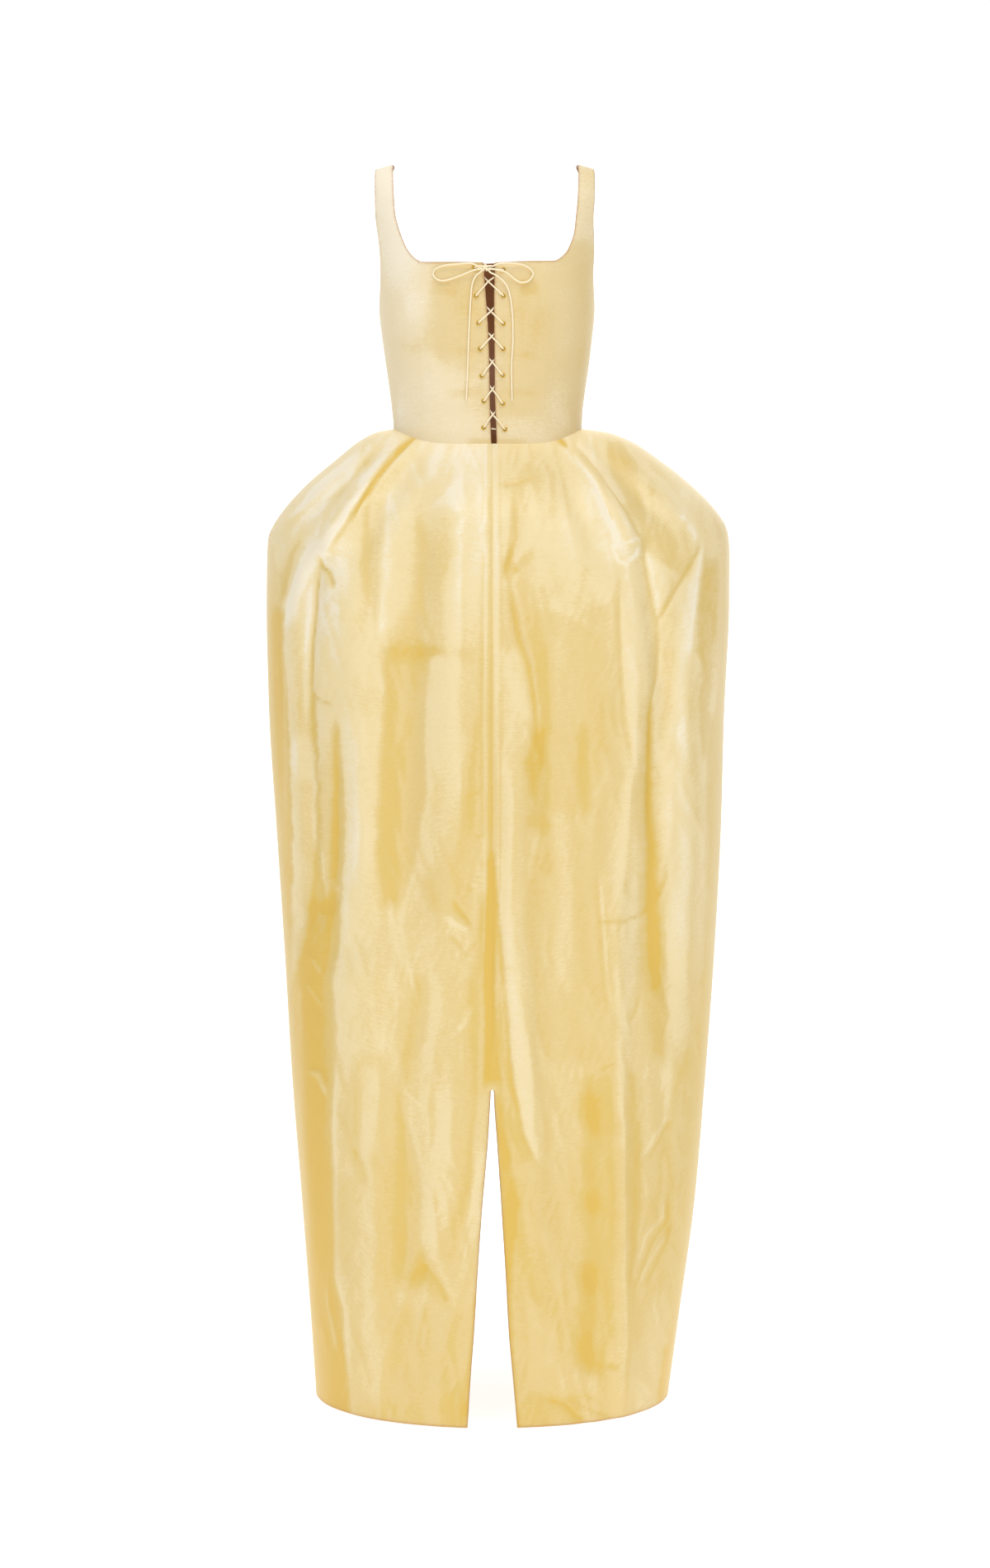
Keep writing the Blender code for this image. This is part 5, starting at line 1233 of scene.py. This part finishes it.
def flatSheet(outline, holes, seamStart, seamStop):
    step = panelMesh["bodiceStep"]
    rings = [eyeletRing(*hole) for hole in holes]
    fixed = np.array(outline + [point for ring in rings for point in ring])
    lows, highs = fixed.min(axis=0), fixed.max(axis=0)
    grid = []
    for row, y in enumerate(np.arange(lows[1], highs[1], step * panelMesh["rowStep"])):
        grid += [(x, y) for x in np.arange(lows[0] + (row % 2) * step / 2, highs[0], step)]
    grid = np.array(grid)
    grid = grid[insideOf(grid, outline)]
    points = np.concatenate([fixed, grid[nearest(grid, fixed) > panelMesh["clear"] * step]])
    loops, start = [], 0
    for loop in [outline] + rings:
        loops.append(list(range(start, start + len(loop))))
        start += len(loop)
    edges = [(a, b) for loop in loops for a, b in zip(loop, loop[1:] + loop[:1])]
    placed, _, faces, *_ = delaunay_2d_cdt([Vector(point) for point in points], edges, [], 1, 1e-7)
    placed = np.array([tuple(point) for point in placed])
    middles = np.array([placed[list(face)].mean(axis=0) for face in faces])
    keep = insideOf(middles, outline)
    for ring in rings:
        keep &= ~insideOf(middles, ring)
    border = fixed[:len(outline)]
    unsewn = np.concatenate([border[:seamStart], border[seamStop:]])
    faces = [tuple(face) for face, wanted in zip(faces, keep) if wanted]
    return placed, faces, nearest(placed, border), nearest(placed, unsewn)


# rim: how far the painted shade along the unsewn edges reaches
bodiceLook = {"tone": 0.42, "calmEdge": 0.012, "rim": 0.0011, "sewn": 0.0001, "sideDepth": 0.36, "sideSteps": 181}


def makeBodicePanel(nodeName, face, outline, seamSpan, holes, material, press):
    placed, faces, distance, toFree = flatSheet(outline, holes, *seamSpan)
    if face == back:
        faces = [corners[::-1] for corners in faces]
    angle, down = placed[:, 0] / cut["girthScale"], placed[:, 1]
    points = bodiceSurface(face, angle, down)
    normal = bodiceNormal(face, angle, down)
    atSide = np.abs(np.abs(angle) - math.pi / 2) < 1e-4
    normal[atSide | (down < 1e-5), 1] = 0.0
    normal = unit(normal)
    lift, tone = pressMarks(*press, face, points)
    calm = smoothStep(0.0, bodiceLook["calmEdge"], distance)
    calm *= 1.0 - smoothStep(sideFade, 1.0, np.abs(np.sin(angle)))
    lift = lift + crumple(*flatView(face, points), bodiceCrumple)
    points = points + normal * (lift * calm)[:, None]
    places = np.linspace(0.0, bodiceLook["sideDepth"], bodiceLook["sideSteps"])
    for side in (left, right):
        sewn = toneBySide(bodicePress, bodiceSurface, side, places, sideTone["bodiceBlur"])
        near = smoothStep(*sideTone[face], side * np.sin(angle))
        tone += (np.interp(down, places, sewn) - tone) * near
    # its colour: the marks' painted shade and highlight, and a painted shade along the unsewn edges
    piece = closeShell(
        nodeName + "_silk", points, normal, cut["bodiceWall"], faces, placed, bodiceLook["tone"] + tone,
        np.exp(-toFree / bodiceLook["rim"]), material, toFree < bodiceLook["sewn"],
    )
    addPiece(piece, [nodeName])
    return piece


def makeBodice():
    material = silkMaterial(bodiceSilk)
    made = {}
    for side, neckRows, strapRows in ((left, neckLeft, strapLeft), (right, neckRight, strapRight)):
        word = sideWord(side)
        neck = even(backNeckEdge(neckRows, float(gapAt(word, bodiceAt("height", cut["neckMiddle"])))))
        heights = np.linspace(panelMesh["gapTop"], cut["waistBack"], panelMesh["gapSteps"])[:-1]
        gap = [patternPoint(float(gapAt(word, height)), float(downOfHeight(-height))) for height in heights[1:]]
        gap = [point for point in gap if point[1] > neck[-1][1] + 0.001]
        start = float(angleOf(float(gapAt(word, cut["waistBack"])), downOfHeight(-cut["waistBack"])))
        sewn = waistEdge(back, start, side * math.pi / 2) + sideSeam(side)
        outline = neck + gap + sewn + even(strapAndArmhole(side, strapRows))[::-1]
        seamSpan = (len(neck) + len(gap), len(neck) + len(gap) + len(sewn))
        holes = [eyeletPlace(pair, side) for pair in range(len(eyeletPlaces))]
        name = "bodice_back_" + word
        made[name] = makeBodicePanel(name, back, outline, seamSpan, holes, material, bodicePress)
    leftNeck, rightNeck = even(frontNeckEdge(neckLeft)), even(frontNeckEdge(neckRight))
    before = leftNeck + rightNeck[-2::-1] + even(strapAndArmhole(right, strapRight))
    sewn = sideSeam(right)[::-1] + waistEdge(front, math.pi / 2, -math.pi / 2) + sideSeam(left)
    outline = before + sewn + even(strapAndArmhole(left, strapLeft))[::-1]
    seamSpan = (len(before), len(before) + len(sewn))
    made["bodice_front"] = makeBodicePanel(
        "bodice_front", front, outline, seamSpan, [], material, changedOver(*bodicePress),
    )
    return made


# Skirt panels: an even grid on the ring surface, with the marks pressed into it
def middleEdge(face, side, height):
    opened = slitAt(sideWord(side), height) * (cut["frontSlitWidening"] if face == front else 1.0)
    return np.where(height > slit[0][0], side * cut["seamGap"] / 2, opened)


def evenRows(face):
    tries = np.linspace(0.0, len(skirtRings) - 1, 1600)
    down = skirtBase(face, np.full(tries.shape, 0.4), tries)
    lengths = np.concatenate([[0.0], np.cumsum(np.linalg.norm(np.diff(down, axis=0), axis=1))])
    return np.interp(np.linspace(0.0, lengths[-1], panelMesh["skirtRows"] + 1), lengths, tries)


# What deepens or pales the skirt's colour, and where it starts and ends: heights, or the sine of the angle
# The colour is deeper towards the hem, painted shade at the sides, a painted highlight on the upper hips, and painted
# light and shade by the slope of the relief
skirtTone = {
    "base": 0.38, "marks": 0.9, "low": 0.16, "lowFrom": (-0.7, -1.45), "sides": 0.17, "sidesFrom": (0.86, 1.0),
    "hips": 0.20, "hipsFrom": (-0.56, -0.36), "slope": 0.15, "steepest": 0.09,
}
# hem and slit: how far the painted shade along the hem and the slit's edges reaches
skirtLook = {"calmTop": 1.2, "calmSides": (0.94, 1.0), "probe": 0.003, "bySlit": 0.004, "hem": 0.0016, "slit": 0.0014}


def makeSkirtPanel(face, side, material, press):
    rows = evenRows(face)
    columns = panelMesh["skirtColumns"]
    middle = skirtAt(faceWord(face) + "_z", rows)
    start = np.arcsin(middleEdge(face, side, middle) / skirtAt(sideWord(side), rows))
    share = np.linspace(0.0, 1.0, columns + 1)
    share = share + panelMesh["crowding"] * (share ** 3 - share)    # closer columns by the middle, where most shows
    angle = start[:, None] + (side * math.pi / 2 - start[:, None]) * share[None, :]
    aside = np.abs(np.sin(angle))
    row = np.repeat(rows[:, None], columns + 1, axis=1)
    points = skirtSurface(face, angle, row)
    lift, tone = pressMarks(*press, face, points)
    across, down = flatView(face, points)
    lift = lift + crumple(across, down, skirtCrumple)
    # painted light and shade by the relief's slope: paler where it faces the lamps on the left, deeper where it turns
    # away
    slope = np.gradient(lift, axis=1) / np.gradient(across / 1000, axis=1)
    tone = tone - skirtTone["slope"] * np.tanh(slope / skirtTone["steepest"])
    calm = smoothStep(0.0, skirtLook["calmTop"], row) * (1.0 - smoothStep(*skirtLook["calmSides"], aside))
    smooth = outward(face, skirtSurface, angle, row, skirtLook["probe"])
    points = points + smooth * (lift * calm)[..., None]
    normal = unit(np.cross(np.gradient(points, axis=0), np.gradient(points, axis=1)))
    normal *= np.where((normal * smooth).sum(axis=-1, keepdims=True) < 0, -1.0, 1.0)
    normal[:, -1, 1] = 0.0
    normal[:, 0, 0] = 0.0
    normal[-1, :, 2] = 0.0
    normal = unit(normal)
    girth = np.cumsum(np.linalg.norm(np.diff(points, axis=1, prepend=points[:, :1]), axis=-1), axis=1) * side
    length = np.cumsum(np.linalg.norm(np.diff(points, axis=0, prepend=points[:1]), axis=-1), axis=0)
    # the rim: a painted shade along the hem and the edges of the slit
    slitSide = (girth * side < skirtLook["bySlit"]) & (middle[:, None] < slit[0][0])
    rim = np.exp(-(length[-1] - length) / skirtLook["hem"])
    rim += np.where(slitSide, np.exp(-girth * side / skirtLook["slit"]), 0.0)
    free = (row >= rows[-1]) | (slitSide & (share[None, :] == 0.0))
    sewn = toneBySide(skirtPress, skirtSurface, side, rows, sideTone["skirtBlur"])
    tone += (sewn[:, None] - tone) * smoothStep(*sideTone[face], aside)
    tone = skirtTone["base"] + tone * skirtTone["marks"]
    tone += skirtTone["low"] * smoothStep(*skirtTone["lowFrom"], points[..., 2])
    tone += skirtTone["sides"] * smoothStep(*skirtTone["sidesFrom"], aside)
    tone -= skirtTone["hips"] * smoothStep(*skirtTone["hipsFrom"], points[..., 2])
    width = columns + 1
    corners = [number * width + column for number in range(len(rows) - 1) for column in range(columns)]
    faces = [(corner, corner + 1, corner + width + 1, corner + width) for corner in corners]
    if face * side < 0:
        faces = [corners[::-1] for corners in faces]
    name = f"skirt_{faceWord(face)}_{sideWord(side)}"
    piece = closeShell(
        name + "_silk", points.reshape(-1, 3), normal.reshape(-1, 3), cut["skirtWall"], faces,
        np.stack([girth, -length], axis=-1).reshape(-1, 2), tone.ravel(), np.clip(rim, 0, 1).ravel(), material,
        free.ravel(),
    )
    addPiece(piece, [name])
    return name, piece


def makeSkirt():
    material = silkMaterial(skirtSilk)
    looks = ((back, skirtPress), (front, changedOver(*skirtPress)))
    return dict(makeSkirtPanel(face, side, material, press) for face, press in looks for side in (left, right))


bodicePanels = makeBodice()
print("bodice made:", {name: len(piece.data.polygons) for name, piece in bodicePanels.items()})
skirtPanels = makeSkirt()
print("skirt made:", {name: len(piece.data.polygons) for name, piece in skirtPanels.items()})

# Eyelets: brass rings clenched through both back panels
eyelet = {
    "rimRadius": 0.00235, "rimThick": 0.00068, "sides": 28, "rimSides": 10, "barrelRadius": 0.0018, "wall": 0.0003,
    "front": 0.0006, "behind": -0.0019, "flatFront": 0.75, "flatBehind": 0.7, "colour": (244, 208, 92),
    "worn": (190, 150, 60), "wear": 0.6, "wearScale": 900.0, "roughness": 0.26, "metallic": 0.7,
}


def brassMaterial():
    material, tree, shader = newMaterial("brass")
    body = node(tree, "ShaderNodeTexCoord").outputs["Object"]
    wear = node(tree, "ShaderNodeTexNoise", {"Vector": body, "Scale": eyelet["wearScale"]}).outputs["Fac"]
    share = mathNode(tree, "MULTIPLY", wear, eyelet["wear"])
    fill(tree, shader, {
        "Base Color": mixColours(tree, share, linear(eyelet["colour"]), linear(eyelet["worn"])),
        "Metallic": eyelet["metallic"], "Roughness": eyelet["roughness"],
    })
    return material


def eyeletTree():
    tree, given = newTree(
        "eyelets", ("Rim Radius", "Float"), ("Rim Thickness", "Float"), ("Front", "Float"), ("Behind", "Float"),
        ("Barrel Radius", "Float"), ("Sides", "Int"), ("Rim Sides", "Int"),
    )

    def circle(sides, radius):
        return node(tree, "GeometryNodeCurvePrimitiveCircle", {"Resolution": given[sides], "Radius": given[radius]})

    def ring(radius, profile, level, flat):     # a profile swept round a circle
        return node(tree, "GeometryNodeTransform", {
            "Geometry": node(tree, "GeometryNodeCurveToMesh", {
                "Curve": circle("Sides", radius), "Profile Curve": profile,
            }),
            "Translation": node(tree, "ShaderNodeCombineXYZ", {"Z": level}), "Scale": (1.0, 1.0, flat),
        })

    wall = node(tree, "GeometryNodeCurvePrimitiveQuadrilateral", {
        "Width": eyelet["wall"], "Height": mathNode(tree, "SUBTRACT", given["Front"], given["Behind"]),
    })
    middle = mathNode(tree, "MULTIPLY", mathNode(tree, "ADD", given["Front"], given["Behind"]), 0.5)
    parts = node(tree, "GeometryNodeJoinGeometry")
    for part in (
        ring("Rim Radius", circle("Rim Sides", "Rim Thickness"), given["Front"], eyelet["flatFront"]),
        ring("Rim Radius", circle("Rim Sides", "Rim Thickness"), given["Behind"], eyelet["flatBehind"]),
        ring("Barrel Radius", wall, middle, 1.0),
    ):
        fill(tree, parts, {0: part})
    facing = node(tree, "GeometryNodeInputNamedAttribute", {"Name": "facing"}, data_type="FLOAT_VECTOR")
    turn = node(tree, "FunctionNodeAlignRotationToVector", {"Vector": facing.outputs["Attribute"]}, axis="Z")
    scatter = node(tree, "GeometryNodeInstanceOnPoints", {
        "Points": given["Geometry"], "Instance": parts, "Rotation": turn,
    })
    return finishTree(tree, given, scatter)


def makeEyelets():
    pairs = [(pair, side) for side in (left, right) for pair in range(len(eyeletPlaces))]
    places = [eyeletPlace(pair, side) for pair, side in pairs]
    centres = [backPoint(*place, 0.0) for place in places]
    facing = [(backPoint(*place, 0.01) - centre).normalized() for place, centre in zip(places, centres)]
    mesh = bpy.data.meshes.new("eyeletPoints")
    mesh.from_pydata([tuple(centre) for centre in centres], [], [])
    attribute = mesh.attributes.new("facing", "FLOAT_VECTOR", "POINT")
    attribute.data.foreach_set("vector", np.array(facing, dtype=np.float32).ravel())
    piece = grow("eyelet_rings", bpy.data.objects.new("eyeletPoints", mesh), eyeletTree(), {
        "Rim Radius": eyelet["rimRadius"], "Rim Thickness": eyelet["rimThick"], "Front": eyelet["front"],
        "Behind": eyelet["behind"], "Barrel Radius": eyelet["barrelRadius"], "Sides": eyelet["sides"],
        "Rim Sides": eyelet["rimSides"], "Material": brassMaterial(),
    })
    addPiece(piece, [f"eyelet_{sideWord(side)}_{pair + 1}" for pair, side in pairs])


makeEyelets()
print("eyelets made")

# Studio: a pale sweep of paper under and before the gown, and broad soft lamps
studio = {
    "paper": (196, 196, 195), "roughness": 0.9, "paperGlow": 0.86, "white": (1.0, 1.0, 1.0, 1.0), "world": 0.28,
    "floor": -1.4812, "nearEdge": -4.2, "farEdge": 3.0, "bend": 1.2, "bendSteps": 16, "halfWidth": 6.0, "height": 4.0,
    "lamps": (     # name, place, size, watts
        ("leftSoftbox", (-1.55, -3.0, -0.15), (0.50, 2.0), 15.0),
        ("rightSoftbox", (1.95, -2.9, -0.10), (0.40, 2.0), 13.0),
        ("topLamp", (0.1, -1.2, 1.9), (2.0, 1.6), 40.9),
        ("rearLamp", (0.4, 2.4, 0.6), (2.2, 2.2), 10.0),
    ),
}


def paperMaterial():                    # its back is clear, so that the paper doesn't hide the gown from behind
    material, tree, shader = newMaterial("paleSweep")
    fill(tree, shader, {
        "Base Color": linear(studio["paper"]), "Roughness": studio["roughness"], "Emission Color": studio["white"],
        "Emission Strength": studio["paperGlow"],
    })
    fill(tree, tree.nodes["Material Output"], {"Surface": node(tree, "ShaderNodeMixShader", {
        0: node(tree, "ShaderNodeNewGeometry").outputs["Backfacing"], 1: shader,
        2: node(tree, "ShaderNodeBsdfTransparent"),
    })})
    return material


def makeStudio():
    floor, bend, start = studio["floor"], studio["bend"], studio["farEdge"] - studio["bend"]
    profile = [(studio["nearEdge"], floor), (start, floor)]
    for step in range(1, studio["bendSteps"] + 1):
        turn = math.pi / 2 * step / studio["bendSteps"]
        profile.append((start + bend * math.sin(turn), floor + bend * (1 - math.cos(turn))))
    profile.append((studio["farEdge"], studio["height"]))
    points = [(x, y, z) for y, z in profile for x in (-studio["halfWidth"], studio["halfWidth"])]
    mesh = bpy.data.meshes.new("paleSweep")
    mesh.from_pydata(points, [], [(2 * n, 2 * n + 1, 2 * n + 3, 2 * n + 2) for n in range(len(profile) - 1)])
    mesh.materials.append(paperMaterial())
    mesh.shade_smooth()
    newObject("paleSweep", mesh)
    for name, place, size, watts in studio["lamps"]:
        lamp = bpy.data.lights.new(name, "AREA")
        lamp.energy = watts
        lamp.shape = "RECTANGLE"
        lamp.size, lamp.size_y = size
        item = newObject(name, lamp)
        item.location = place
        aim = Vector((0.0, 0.0, viewer["height"])) - item.location
        item.rotation_euler = aim.to_track_quat("-Z", "Y").to_euler()
    world = bpy.data.worlds.new("paleRoom")
    world.use_nodes = True
    sky = world.node_tree
    fill(sky, sky.nodes["Background"], {"Color": studio["white"], "Strength": studio["world"]})
    scene.world = world
    scene.view_settings.view_transform = "Standard"


makeStudio()
print("studio made")
